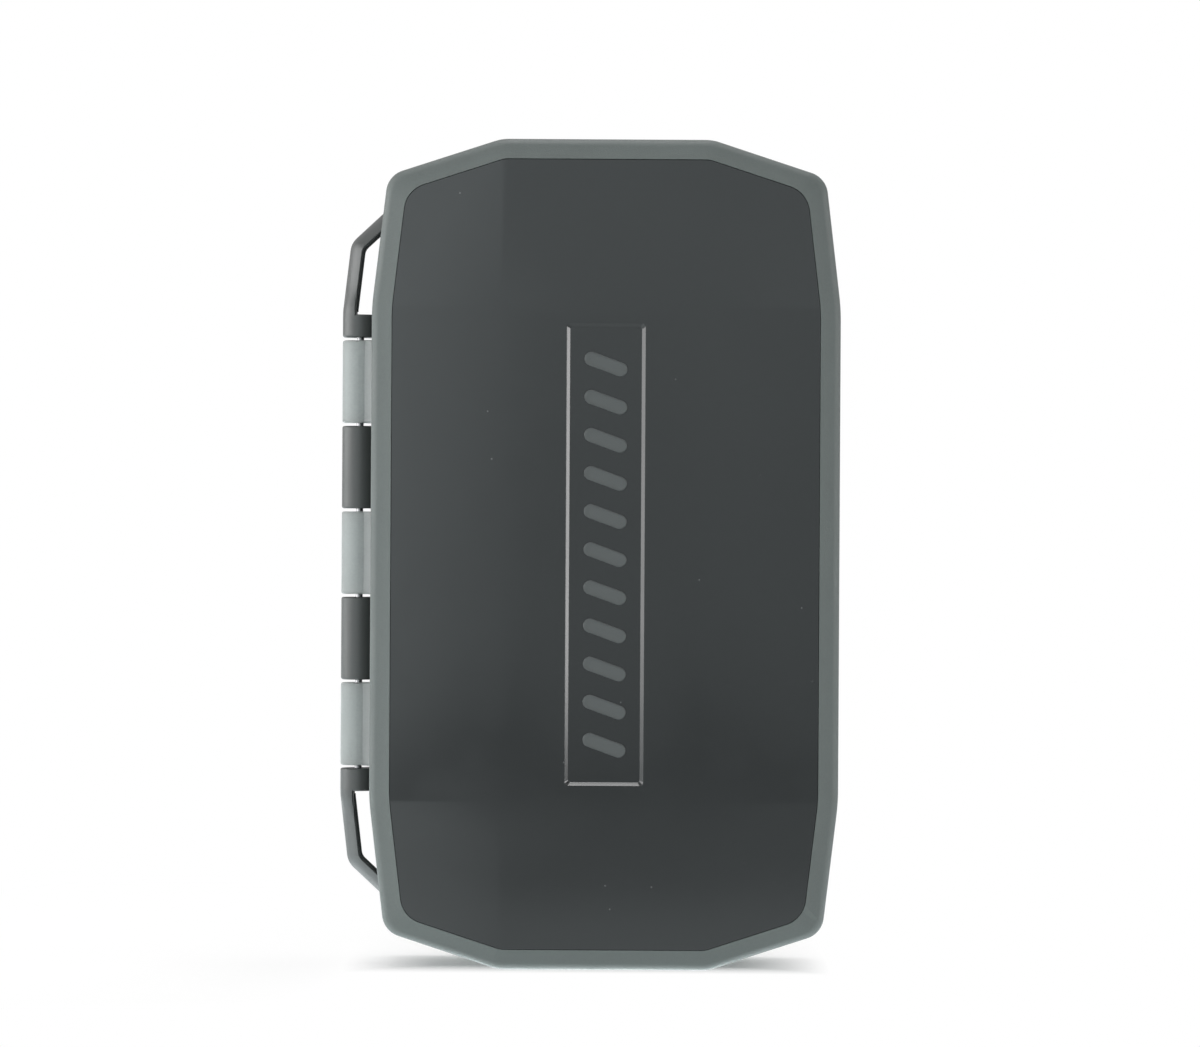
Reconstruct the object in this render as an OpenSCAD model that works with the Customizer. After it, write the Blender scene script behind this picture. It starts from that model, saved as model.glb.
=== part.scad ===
// A slim hinged fly box. It stands on its lower end, with the lid towards -Y and the hinge on -X.
// Lengths are in millimetres. The case is drawn about its own centre, with its outline in the X-Z
// plane and the parting plane at y = 0, and stand() then sets it on z = 0.

/* [Case outline] */
// Length of the case, from end to end
case_length = 185; // [175:1:200]
// Width of the case without its hinge
case_width = 104.5; // [98:0.5:112]
// Width of the straight edge at each end
end_flat = 47; // [40:1:56]
// How far each corner lies short of the end
corner_drop = 8.2; // [6:0.1:11]
// How far each corner lies inside the straight side
corner_inset = 3.4; // [2:0.1:5]
// Length of the straight stretch of each side
straight_side = 110; // [108:1:118]
// Radius of the four corners
corner_radius = 5.3; // [4:0.1:8]
// Radius where an end meets its slopes
end_radius = 10; // [8:0.5:12]
// Radius where a side meets its taper
side_radius = 50; // [40:1:60]

/* [Shells] */
// Depth of the lid, in front of the parting plane
lid_depth = 19; // [18:0.5:24]
// Depth of the base, behind the parting plane
base_depth = 19; // [18:0.5:24]
// Thickness of the side walls
wall = 2.2; // [2:0.1:2.6]
// Gap between lid and base along the parting plane
parting_gap = 0.3; // [0.2:0.05:0.5]
// Slope of the faces beyond the long folds, in degrees
side_tilt = 3; // [2:0.25:4]
// Slope of the faces beyond the cross folds, in degrees
end_tilt = 2.5; // [1.5:0.25:3.5]
// Width of the sloping rim round each face
rim_width = 4.6; // [4:0.1:5.5]
// Slope of the rim, in degrees
rim_tilt = 16; // [12:1:22]
// Width of the rounded edge outside the rim
edge_round = 1.6; // [1.2:0.1:2]

/* [Panels] */
// Radius of a panel's four corners
panel_radius = 6.3; // [4:0.1:8]
// Thickness of a panel in its middle
panel_wall = 2; // [1.8:0.1:2.4]
// Thickness of a panel's edge at its thinnest, where it lies on its ledge
panel_edge = 1.4; // [1.2:0.1:1.8]
// How far a rim stands proud of its panel
panel_step = 0.1; // [0.1:0.05:0.3]
// Gap round a panel
panel_gap = 0.05; // [0.04:0.01:0.15]
// Width of the ledge under a panel
ledge_width = 2.4; // [2:0.1:3]
// Thickness of the ledge
ledge_wall = 1.2; // [1:0.1:1.6]
// Length of the lid's sunk field at its mouth
field_length = 102.6; // [90:1:106]
// Width of the sunk field at its mouth
field_width = 17.4; // [14:0.1:20]
// Depth of the sunk field
field_depth = 0.6; // [0.5:0.05:0.8]
// Width of the field's sloping sides
field_bevel = 0.7; // [0.6:0.1:1.2]
// Raised bars in the field
bar_count = 11; // [6:1:12]
// Distance from the end of the field to the middle of the nearest bar
bar_margin = 9; // [6:0.5:12]
// Thickness of a bar
bar_width = 3.2; // [2:0.1:4]
// Length of a bar across the field
bar_length = 10; // [8:0.1:10.5]
// Height of a bar above the floor of the field
bar_height = 0.4; // [0.3:0.05:0.5]
// Slant of the bars, in degrees
bar_slant = 20; // [0:1:30]

/* [Trays] */
// Thickness of the tray walls
tray_wall = 1.4; // [1.2:0.1:1.6]
// Thickness of the tray floors
tray_floor = 1; // [0.8:0.1:1.4]
// Gap between a tray and its shell
tray_gap = 0.12; // [0.08:0.02:0.2]
// Width of the flange round the mouth of a tray
flange_width = 3.2; // [3:0.1:4]
// Thickness of the flange
flange_thick = 1.8; // [1.6:0.1:2.2]
// Width of the seal
seal_width = 1.3; // [1:0.1:1.5]
// Depth of the groove that holds the seal
seal_depth = 1; // [0.8:0.1:1.2]
// How far the seal stands out of its groove
seal_rise = 0.15; // [0.05:0.05:0.15]
// Gap on each side of the seal
seal_gap = 0.05; // [0.02:0.01:0.1]

/* [Hinge] */
// Distance from the side of the case to the hinge axis
axis_offset = 3.25; // [3.15:0.05:3.5]
// Radius of the hinge barrel
barrel_radius = 4; // [3.6:0.05:4.1]
// Length of a full knuckle
knuckle_length = 18.6; // [17.4:0.1:18.8]
// Gap between knuckles
knuckle_gap = 0.7; // [0.4:0.05:0.8]
// Full knuckles along the hinge
knuckle_count = 5; // [3:2:5]
// Length of the short knuckle at each end
end_knuckle = 5.1; // [4.5:0.1:6]
// Thickness of the webs that carry the knuckles
web = 2.2; // [1.8:0.1:2.4]
// Radius of the hinge pin
pin_radius = 0.8; // [0.7:0.05:1]
// Radial play of the pin in the lid knuckles
pin_play = 0.08; // [0.05:0.01:0.1]
// Radial play of the pin in the base knuckles
pin_seat = 0.02; // [0.01:0.01:0.04]
// How far each end of the pin lies inside its knuckle
pin_recess = 0.6; // [0.4:0.1:1]
// Clearance round the barrel
barrel_gap = 0.4; // [0.3:0.05:0.5]

/* [Lanyard loops] */
// How far a loop reaches past the hinge, up to its bend
loop_reach = 16.3; // [15:0.1:17]
// Width of the loop's bar
loop_bar = 3.5; // [3.1:0.1:3.6]
// Radius of the loop's outer bend
loop_round = 4.5; // [3:0.1:6]
// Radius of the bend inside the loop
loop_fillet = 2.4; // [1.5:0.1:3]
// Radius of the corner at the loop's foot
foot_fillet = 0.6; // [0.4:0.1:1]
// Reach of the loop in front of the hinge axis
loop_front = 2.2; // [1.6:0.1:2.4]
// Reach of the loop behind the hinge axis
loop_back = 2.2; // [1.8:0.1:2.4]
// Slope of the loop's outer stretch, in degrees from the hinge axis
loop_slope = 47; // [43:1:52]
// Length of the fairing between the hinge's last knuckle and the loop's bar
loop_foot = 3; // [2:0.1:4]
// How far the fairing lies inside the knuckle's surface
foot_inset = 0.15; // [0.1:0.05:0.3]
// Clearance between a loop and the lid
loop_gap = 0.6; // [0.5:0.05:0.8]

/* [Closure] */
// Radius of a magnet
magnet_radius = 3.5; // [3:0.1:4]
// Thickness of a magnet
magnet_thick = 3; // [2:0.1:4]
// Wall round a magnet's cover
boss_wall = 1.2; // [1:0.1:1.5]
// How far a cover reaches past its magnet
cover_lap = 0.8; // [0.6:0.1:1]
// Thickness of a magnet cover
cover_thick = 0.7; // [0.5:0.1:1]
// Gap round a magnet and its cover
magnet_gap = 0.06; // [0.04:0.01:0.1]
// How far a magnet cover lies below the edge of its tray
cover_sink = 0.1; // [0.05:0.05:0.2]
// Depth of the thumb scoop in the side of the base
scoop_depth = 1.1; // [0.8:0.1:1.2]
// Radius of the sphere that cuts the scoop
scoop_radius = 55; // [45:1:65]

/* [Foam] */
// Thickness of the foam under its ridges
foam_base = 2.2; // [1.8:0.1:2.8]
// Height of a foam ridge
ridge_height = 4; // [3:0.1:4.5]
// Width of a ridge at its foot
ridge_foot = 6.4; // [5.5:0.1:7]
// Width of a ridge at its top
ridge_top = 4.4; // [3.6:0.1:5]
// Distance between ridges
ridge_pitch = 14; // [12:0.5:16]
// Gap between the foam and its tray
foam_gap = 0.4; // [0.3:0.1:0.8]

/* [Hidden] */

$fn = 64;
over = 1;                        // how far a cut runs past the face that it opens
corner_steps = 6;                // chords in the arc of a case corner
bend_steps = 3;                  // chords in a gentler arc
round_steps = 4;                 // chords across the rounded edge of a rim

shell_colour = [0.44, 0.47, 0.46];
panel_colour = [0.25, 0.27, 0.27];
lid_tray_colour = [0.68, 0.70, 0.69];
base_tray_colour = [0.36, 0.37, 0.37];
foam_colour = [0.82, 0.82, 0.79];
seal_colour = [0.15, 0.15, 0.16];
steel_colour = [0.55, 0.55, 0.56];

fold_x = end_flat / 2;
fold_z = straight_side / 2;
edge = parting_gap / 2;

axis_x = -case_width / 2 - axis_offset;
hinge_overhang = axis_offset + barrel_radius;
knuckle_pitch = knuckle_length + knuckle_gap;
knuckle_run = knuckle_count * knuckle_pitch - knuckle_gap;
hinge_half = knuckle_run / 2 + knuckle_gap + end_knuckle;
relief_radius = barrel_radius + barrel_gap;
loop_relief = norm([barrel_radius, loop_back]) + barrel_gap;

tray_inset = wall + tray_gap;
room_inset = tray_inset + tray_wall;
mouth_inset = tray_inset + flange_width;
seal_inset = tray_inset + (flange_width - seal_width) / 2;
cover_radius = magnet_radius + cover_lap;
boss_radius = cover_radius + magnet_gap + boss_wall;
boss_inset = mouth_inset + boss_radius - boss_wall / 2;
boss_face = edge + cover_sink;

// The case corners [x, z], counter-clockwise from the upper end of the straight side without a hinge
quarter = [
    [case_width / 2, fold_z],
    [case_width / 2 - corner_inset, case_length / 2 - corner_drop],
    [end_flat / 2, case_length / 2]
];
corners = [
    for (i = [0:2]) quarter[i],
    for (i = [2:-1:0]) [-quarter[i].x, quarter[i].y],
    for (i = [0:2]) -quarter[i],
    for (i = [2:-1:0]) [quarter[i].x, -quarter[i].y]
];
upper_corner = 1;
lower_corner = 10;
side_taper = corner_inset / (case_length / 2 - corner_drop - fold_z);

function unit(v) = v / norm(v);
function left_of(v) = [-v.y, v.x];
function before(points, i) = points[(i + len(points) - 1) % len(points)];
function after(points, i) = points[(i + 1) % len(points)];
function normal_in(points, i) = left_of(unit(points[i] - before(points, i)));
function normal_out(points, i) = left_of(unit(after(points, i) - points[i]));

// Corner i of a counter-clockwise polygon after its sides have moved inwards by d
function moved_corner(points, i, d) =
    let (n = normal_in(points, i), m = normal_out(points, i))
    points[i] + d * (n + m) / (1 + n * m);

// Arc that rounds that corner
function corner_arc(points, i, d, radius, steps) =
    let (
        n = normal_in(points, i),
        m = normal_out(points, i),
        start = atan2(-n.y, -n.x),
        turn = acos(min(1, n * m)),
        centre = moved_corner(points, i, d + radius)
    )
    [for (k = [0:steps]) centre + radius * [cos(start + turn * k / steps), sin(start + turn * k / steps)]];

// Radius of corner i of the case at an inset of d: the four main corners grow towards the panel's radius
function radius_at(i, d) =
    i % 3 == 0 || i % 3 == 2
    ? max((i % 6 == 0 || i % 6 == 5 ? side_radius : end_radius) - d, corner_radius / 4)
    : corner_radius + (panel_radius - corner_radius) * d / rim_width;

function outline(d) = [
    for (i = [0:len(corners) - 1])
        each corner_arc(corners, i, d, radius_at(i, d), i % 3 == 1 ? corner_steps : bend_steps)
];

// How far a folded face lies below its middle, at a point of the outline plane
function face_drop(p) =
    tan(side_tilt) * max(0, abs(p.x) - fold_x) + tan(end_tilt) * max(0, abs(p.y) - fold_z);

// The rim's [inset, drop], from its inner edge outwards: a straight slope, then a rounded edge
round_radius = edge_round / (1 - sin(rim_tilt));
rim_profile = [
    [rim_width, 0],
    for (k = [0:round_steps])
        let (a = rim_tilt + (90 - rim_tilt) * k / round_steps)
        [
            round_radius * (1 - sin(a)),
            tan(rim_tilt) * (rim_width - edge_round) + round_radius * (cos(rim_tilt) - cos(a))
        ]
];

// Depths, from the parting plane, of the panel's seat, the shell's ceiling and the tray's floor
function seat_depth(depth) = min([for (p = outline(rim_width)) depth - face_drop(p)]) - panel_edge;
function ceiling_depth(depth) = seat_depth(depth) - ledge_wall;
function floor_depth(depth) = ceiling_depth(depth) - tray_gap - tray_floor;

// One ring of the outline, moved inwards by d and lying a drop below a folded face
function ring(d, depth, drop) = [for (p = outline(d)) [p.x, -(depth - face_drop(p) - drop), p.y]];
function level_ring(d, depth) = [for (p = outline(d)) [p.x, -depth, p.y]];
function fold_points(depth) = [for (x = [-fold_x, fold_x], z = [-fold_z, fold_z]) [x, -depth, z]];

// Everything below is drawn for the lid, whose faces look towards -Y. The base is its mirror image.
module rearward() mirror([0, 1, 0]) children();
module lower_end() mirror([0, 0, 1]) children();
module both_ends() {
    children();
    lower_end() children();
}

// Sets the case on its lower end, with the middle of its overall box above the origin
module stand() translate([hinge_overhang / 2, (lid_depth - base_depth) / 2, case_length / 2]) children();

// Convex solid round a cloud of points
module wrap(points) hull() polyhedron(points, [[for (i = [0:len(points) - 1]) i]]);

// Prism of an outline between two depths
module slab(points, deep, shallow)
    translate([0, -shallow, 0]) rotate([90, 0, 0]) linear_extrude(deep - shallow) polygon(points);

// Disc of a radius between two depths
module disc(at, radius, deep, shallow)
    translate([at.x, -shallow, at.y]) rotate([90, 0, 0]) cylinder(r = radius, h = deep - shallow);

// Rod on the hinge axis
module rod(radius, z0, z1) translate([axis_x, 0, z0]) cylinder(r = radius, h = z1 - z0);

// Block beside the hinge axis, from the axis to an inset in the case wall
module hinge_block(inset, deep, shallow, z0, z1)
    translate([axis_x, -deep, z0]) cube([axis_offset + inset, deep - shallow, z1 - z0]);

function knuckle_low(i) = (i - (knuckle_count - 1) / 2) * knuckle_pitch - knuckle_length / 2;
lid_knuckles = [for (i = [0:2:knuckle_count - 1]) [knuckle_low(i), knuckle_low(i) + knuckle_length]];
base_knuckles = [for (i = [1:2:knuckle_count - 1]) [knuckle_low(i), knuckle_low(i) + knuckle_length]];
end_span = [hinge_half - end_knuckle, hinge_half];

module knuckle(span) {
    rod(barrel_radius, span.x, span.y);
    hinge_block(tray_inset + tray_wall / 2, barrel_radius, barrel_radius - web, span.x, span.y);
}

// Opening in a shell's wall for the web of a knuckle
module knuckle_notch(span)
    hinge_block(tray_inset + over, barrel_radius + tray_gap, -over, span.x - tray_gap, span.y + tray_gap);

// Corners of a loop, as [x, z] from the hinge axis and the hinge's upper end. Its bar runs
// beside the case, parallel to its straight side and then to its taper, and bends in to meet it.
loop_lean = [-barrel_radius, fold_z - hinge_half];
loop_bend = [(loop_reach - loop_lean.y) * side_taper - barrel_radius, loop_reach];
loop_top = loop_bend.y + (axis_offset + wall - loop_bend.x) / tan(loop_slope);
loop_inner = axis_offset + corner_inset + room_inset + loop_bar;
foot_lean = (loop_foot - loop_lean.y) * side_taper;
loop_corners = [
    [-barrel_radius, -loop_bar],
    [loop_inner, -loop_bar],
    [loop_inner, loop_top],
    [axis_offset + wall, loop_top],
    loop_bend,
    loop_lean
];
bend_corner = 4;

// The loop's outline at an inset of d, with its bend rounded by a radius
function loop_outline(d, radius) = [
    for (i = [0:len(loop_corners) - 1])
        each i == bend_corner
            ? corner_arc(loop_corners, i, d, radius, corner_steps)
            : corner_arc(loop_corners, i, d, foot_fillet, bend_steps)
];

// A loop stays behind the parting plane wherever it enters the outline of the case
module loop()
    difference() {
        translate([axis_x, loop_front, hinge_half]) rotate([90, 0, 0]) linear_extrude(loop_front + loop_back)
            difference() {
                polygon(loop_outline(0, loop_round));
                polygon(loop_outline(loop_bar, loop_fillet));
            }
        slab(outline(-loop_gap), edge, -loop_front - over);
        slab(outline(room_inset), loop_back + over, 0);
    }

// Fairing from the outer half of the last knuckle into the loop's bar
module loop_fairing()
    hull() {
        intersection() {
            rod(barrel_radius - foot_inset, hinge_half - over, hinge_half);
            translate([axis_x - barrel_radius, -barrel_radius, hinge_half - over])
                cube([loop_bar, 2 * barrel_radius, over]);
        }
        translate([axis_x - barrel_radius + foot_lean, -loop_back, hinge_half])
            cube([loop_bar, loop_front + loop_back, loop_foot]);
    }

module loop_notch() {
    span = [hinge_half + loop_top - loop_bar - tray_gap, hinge_half + loop_top + tray_gap];
    hinge_block(corner_inset + tray_inset + over, loop_back + tray_gap, -over, span.x, span.y);
}

// Shell of one half: a frame with a sloping rim, a ledge for the panel and an open mouth
module shell(depth)
    difference() {
        wrap(concat(
            level_ring(0, edge),
            [for (step = rim_profile) each ring(step.x, depth, step.y)],
            fold_points(depth)
        ));
        slab(outline(wall), ceiling_depth(depth), -over);
        slab(outline(rim_width + ledge_width), depth, 0);
        slab(outline(rim_width), depth + over, seat_depth(depth));
    }

// Folded plate at an inset of d, from a level to its own folded face
module folded_plate(d, level, face)
    wrap(concat(level_ring(d, level), ring(d, face, 0), fold_points(face)));

module panel(depth)
    difference() {
        folded_plate(rim_width + panel_gap, seat_depth(depth), depth - panel_step);
        folded_plate(rim_width + ledge_width, seat_depth(depth) - over, depth - panel_step - panel_wall);
    }

function rectangle(width, length, y) = [
    for (x = [-width / 2, width / 2], z = [-length / 2, length / 2]) [x, y, z]
];

// Sunk field with sloping sides
field_face = lid_depth - panel_step;
field_floor = field_face - field_depth;
module field() {
    flare = 2 * field_bevel * (1 + over / field_depth);
    wrap(concat(
        rectangle(field_width - 2 * field_bevel, field_length - 2 * field_bevel, -field_floor),
        rectangle(field_width - 2 * field_bevel + flare, field_length - 2 * field_bevel + flare, -field_face - over)
    ));
}

module bar()
    rotate([90, bar_slant, 0]) translate([0, 0, field_floor - over]) linear_extrude(over + bar_height) {
        straight = bar_length - bar_width;
        square([straight, bar_width], center = true);
        for (x = [-straight / 2, straight / 2]) translate([x, 0]) circle(d = bar_width);
    }

// Tray of one half, with a flanged mouth and a boss for a magnet at each hinge-free corner
module tray(depth) {
    floor_at = floor_depth(depth);
    difference() {
        slab(outline(tray_inset), floor_at + tray_floor, edge);
        slab(outline(room_inset), floor_at, edge + flange_thick);
        slab(outline(mouth_inset), floor_at, -over);
    }
    for (i = [upper_corner, lower_corner])
        disc(moved_corner(corners, i, boss_inset), boss_radius, floor_at + tray_floor / 2, boss_face);
}

module magnet_pocket(i) {
    at = moved_corner(corners, i, boss_inset);
    disc(at, cover_radius + magnet_gap, boss_face + cover_thick, -over);
    disc(at, magnet_radius + magnet_gap, boss_face + cover_thick + magnet_thick + magnet_gap, 0);
}

module magnet(i)
    disc(moved_corner(corners, i, boss_inset), magnet_radius,
        boss_face + cover_thick + magnet_thick, boss_face + cover_thick);

module magnet_cover(i)
    disc(moved_corner(corners, i, boss_inset), cover_radius, boss_face + cover_thick, boss_face);

// Sheet of foam with ridges across it, cut round the magnet bosses
module foam(depth) {
    floor_at = floor_depth(depth);
    sheet = outline(room_inset + foam_gap);
    rows = floor((case_length - 2 * (room_inset + foam_gap + corner_drop)) / ridge_pitch);
    difference() {
        slab(sheet, floor_at, floor_at - foam_base - ridge_height);
        for (i = [0:rows]) translate([0, 0, (i - rows / 2) * ridge_pitch]) furrow(floor_at - foam_base);
        for (i = [upper_corner, lower_corner])
            disc(moved_corner(corners, i, boss_inset), boss_radius + foam_gap, floor_at + over, 0);
    }
}

// Space between two ridges
module furrow(ground) {
    low = (ridge_pitch - ridge_foot) / 2;
    high = (ridge_pitch - ridge_top) / 2;
    rise = (high - low) / ridge_height;
    translate([-case_width / 2, 0, 0]) rotate([90, 0, 90]) linear_extrude(case_width)
        polygon([
            [-ground, -low], [-ground + ridge_height + over, -high - rise * over],
            [-ground + ridge_height + over, high + rise * over], [-ground, low]
        ]);
}

module lid_shell()
    color(shell_colour) stand()
    difference() {
        shell(lid_depth);
        rod(relief_radius, -hinge_half - knuckle_gap, hinge_half + knuckle_gap);
        for (span = lid_knuckles) knuckle_notch(span);
        both_ends() rod(loop_relief, end_span.x - knuckle_gap, hinge_half + loop_reach);
    }

module base_shell()
    color(shell_colour) stand()
    rearward() difference() {
        shell(base_depth);
        rod(relief_radius, -hinge_half - knuckle_gap, hinge_half + knuckle_gap);
        for (span = base_knuckles) knuckle_notch(span);
        both_ends() {
            knuckle_notch(end_span);
            loop_notch();
        }
        translate([case_width / 2 + scoop_radius - scoop_depth, 0, 0]) sphere(r = scoop_radius);
    }

module lid_panel()
    color(panel_colour) stand() {
        difference() {
            panel(lid_depth);
            field();
        }
        pitch = (field_length - 2 * bar_margin) / (bar_count - 1);
        for (i = [0:bar_count - 1]) translate([0, 0, (i - (bar_count - 1) / 2) * pitch]) bar();
    }

module base_panel() color(panel_colour) stand() rearward() panel(base_depth);

module lid_tray()
    color(lid_tray_colour) stand()
    difference() {
        union() {
            tray(lid_depth);
            for (span = lid_knuckles) knuckle(span);
        }
        rod(pin_radius + pin_play, -hinge_half, hinge_half);
        for (i = [upper_corner, lower_corner]) magnet_pocket(i);
    }

module base_tray()
    color(base_tray_colour) stand()
    rearward() difference() {
        union() {
            tray(base_depth);
            for (span = base_knuckles) knuckle(span);
            both_ends() {
                knuckle(end_span);
                loop();
                loop_fairing();
            }
        }
        rod(pin_radius + pin_seat, -hinge_half - over, hinge_half + over);
        for (i = [upper_corner, lower_corner]) magnet_pocket(i);
        seal_groove();
    }

module seal_groove()
    difference() {
        slab(outline(seal_inset), edge + seal_depth, 0);
        slab(outline(seal_inset + seal_width), edge + seal_depth + over, -over);
    }

module seal()
    color(seal_colour) stand()
    rearward() difference() {
        slab(outline(seal_inset + seal_gap), edge + seal_depth, edge - seal_rise);
        slab(outline(seal_inset + seal_width - seal_gap), edge + seal_depth + over, -over);
    }

module hinge_pin() color(steel_colour) stand() rod(pin_radius, -hinge_half + pin_recess, hinge_half - pin_recess);
module base_foam() color(foam_colour) stand() rearward() foam(base_depth);
module lid_foam() color(foam_colour) stand() foam(lid_depth);
module base_magnet(i) color(steel_colour) stand() rearward() magnet(i);
module lid_magnet(i) color(steel_colour) stand() magnet(i);
module base_magnet_cover(i) color(base_tray_colour) stand() rearward() magnet_cover(i);
module lid_magnet_cover(i) color(lid_tray_colour) stand() magnet_cover(i);

base_shell();
base_panel();
base_tray();
base_foam();
seal();
base_magnet(upper_corner);  // base_magnet_upper
base_magnet(lower_corner);  // base_magnet_lower
base_magnet_cover(upper_corner);  // base_magnet_cover_upper
base_magnet_cover(lower_corner);  // base_magnet_cover_lower
hinge_pin();
lid_shell();
lid_panel();
lid_tray();
lid_foam();
lid_magnet(upper_corner);  // lid_magnet_upper
lid_magnet(lower_corner);  // lid_magnet_lower
lid_magnet_cover(upper_corner);  // lid_magnet_cover_upper
lid_magnet_cover(lower_corner);  // lid_magnet_cover_lower
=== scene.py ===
"""Dresses a hinged fly box: frames, panels, trays, hinge, seal and foam, on a white studio floor."""

from math import acos, asin, atan2, cos, pi, radians, sin, tan

import bmesh
import bpy
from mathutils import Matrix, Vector
from mathutils.geometry import delaunay_2d_cdt


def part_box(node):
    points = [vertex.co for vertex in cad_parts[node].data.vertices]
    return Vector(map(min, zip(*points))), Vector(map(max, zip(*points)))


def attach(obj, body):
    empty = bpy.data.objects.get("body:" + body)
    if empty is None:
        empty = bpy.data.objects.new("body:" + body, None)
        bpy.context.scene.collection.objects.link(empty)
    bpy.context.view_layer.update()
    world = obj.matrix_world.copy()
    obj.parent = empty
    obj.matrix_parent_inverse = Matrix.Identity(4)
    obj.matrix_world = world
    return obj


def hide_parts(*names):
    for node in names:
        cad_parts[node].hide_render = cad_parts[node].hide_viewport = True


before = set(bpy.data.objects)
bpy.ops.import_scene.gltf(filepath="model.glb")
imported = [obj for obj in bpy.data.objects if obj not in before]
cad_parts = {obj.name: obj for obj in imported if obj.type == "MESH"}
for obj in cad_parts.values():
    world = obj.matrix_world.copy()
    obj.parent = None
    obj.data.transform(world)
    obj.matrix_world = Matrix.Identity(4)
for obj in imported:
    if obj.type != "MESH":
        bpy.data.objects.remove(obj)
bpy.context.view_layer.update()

bl_info = {
    "name": "Fly Box",
    "version": (1, 0, 0),
    "blender": (4, 5, 0),
    "location": "View3D > Sidebar > Fly Box",
    "description": "Builds the finished pieces of a hinged fly box round its CAD frame",
    "category": "Object",
}

MM = 0.001

# Each side of the parting plane, as the sign of Y, and the bodies that lie there.
LID, BASE = -1, 1
SIDES = {"lid": LID, "base": BASE}

# Finish of each body's tray and magnet covers.
TRAY_FINISH = {"lid": "light_plastic", "base": "dark_plastic"}

# Points closer together than this are one point.
WELD = 1e-7

# Edges that turn by more than these are shaded sharp.
SHARP_ANGLE = radians(28)
PANEL_SHARP = radians(12)
FOAM_SHARP = radians(50)

LID_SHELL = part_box("lid_shell")
LID_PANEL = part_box("lid_panel")
BASE_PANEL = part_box("base_panel")
CENTRE = (LID_SHELL[0] + LID_SHELL[1]) / 2


# ---------------------------------------------------------------- properties


def size(name, description, millimetres):
    """A length, given in millimetres and stored in metres."""
    return bpy.props.FloatProperty(
        name=name, description=description, default=millimetres * MM, min=0, unit="LENGTH", precision=5
    )


def angle(name, description, degrees):
    """An angle, given in degrees and stored in radians."""
    return bpy.props.FloatProperty(
        name=name, description=description, default=radians(degrees), unit="ROTATION", subtype="ANGLE"
    )


def count(name, description, number):
    return bpy.props.IntProperty(name=name, description=description, default=number, min=1)


def brightness(name, description, share):
    """A level of light, where 1 shows as white."""
    return bpy.props.FloatProperty(name=name, description=description, default=share, min=0, max=3)


def colour(name, description, red, green, blue):
    return bpy.props.FloatVectorProperty(
        name=name, description=description, default=(red, green, blue), min=0, max=1, subtype="COLOR"
    )


class CaseSizes(bpy.types.PropertyGroup):
    """Outline of the case and form of its two frames."""

    end_flat: size("End flat", "Width of the straight edge at each end", 47)
    corner_drop: size("Corner drop", "How far each corner lies short of the end", 8.2)
    corner_inset: size("Corner inset", "How far each corner lies inside the straight side", 3.4)
    straight_side: size("Straight side", "Length of the straight stretch of each side", 110)
    corner_radius: size("Corner radius", "Radius of the four corners", 5.3)
    end_radius: size("End radius", "Radius where an end meets its slopes", 10)
    side_radius: size("Side radius", "Radius where a side meets its taper", 50)
    wall: size("Wall", "Thickness of the side walls", 2.2)
    parting_gap: size("Parting gap", "Gap between lid and base", 0.3)
    side_tilt: angle("Side tilt", "Slope of the faces beyond the long folds", 3)
    end_tilt: angle("End tilt", "Slope of the faces beyond the cross folds", 2.5)
    rim_width: size("Rim width", "Width of the sloping rim", 4.6)
    rim_tilt: angle("Rim tilt", "Slope of the rim", 16)
    edge_round: size("Edge round", "Width of the rounded edge outside the rim", 1.6)
    land_round: size("Land round", "Rounding of the edge along the parting line", 0.3)
    lip_round: size("Lip round", "Rounding of the rim's inner edge", 0.1)
    scoop_depth: size("Scoop depth", "Depth of the thumb scoop in the base", 1.1)
    scoop_radius: size("Scoop radius", "Radius of the sphere that cuts the scoop", 55)


class PanelSizes(bpy.types.PropertyGroup):
    """Panels, and the sunk field in the lid's panel."""

    radius: size("Corner radius", "Radius of a panel's corners", 6.3)
    edge: size("Edge", "Thickness of a panel's edge at its thinnest", 1.4)
    step: size("Step", "How far the rim stands proud of the panel", 0.1)
    gap: size("Gap", "Gap round a panel", 0.05)
    edge_round: size("Edge round", "Rounding of a panel's edge", 0.12)
    ledge_width: size("Ledge width", "Width of the ledge under a panel", 2.4)
    ledge_wall: size("Ledge thickness", "Thickness of the ledge", 1.2)
    field_length: size("Field length", "Length of the sunk field", 102.6)
    field_width: size("Field width", "Width of the sunk field", 17.4)
    field_depth: size("Field depth", "Depth of the sunk field", 0.6)
    field_bevel: size("Field bevel", "Width of the field's sloping sides", 0.7)
    field_round: size("Field round", "Radius of the corners of the field's mouth", 0.9)
    bar_count: count("Bars", "Raised bars in the field", 11)
    bar_margin: size("Bar margin", "From the field's end to the nearest bar", 9)
    bar_width: size("Bar width", "Thickness of a bar", 3.2)
    bar_length: size("Bar length", "Length of a bar", 10)
    bar_height: size("Bar height", "Height of a bar above the field's floor", 0.4)
    bar_round: size("Bar round", "Rounding of a bar's top edge", 0.25)
    bar_slant: angle("Bar slant", "Slant of the bars", 20)


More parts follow.
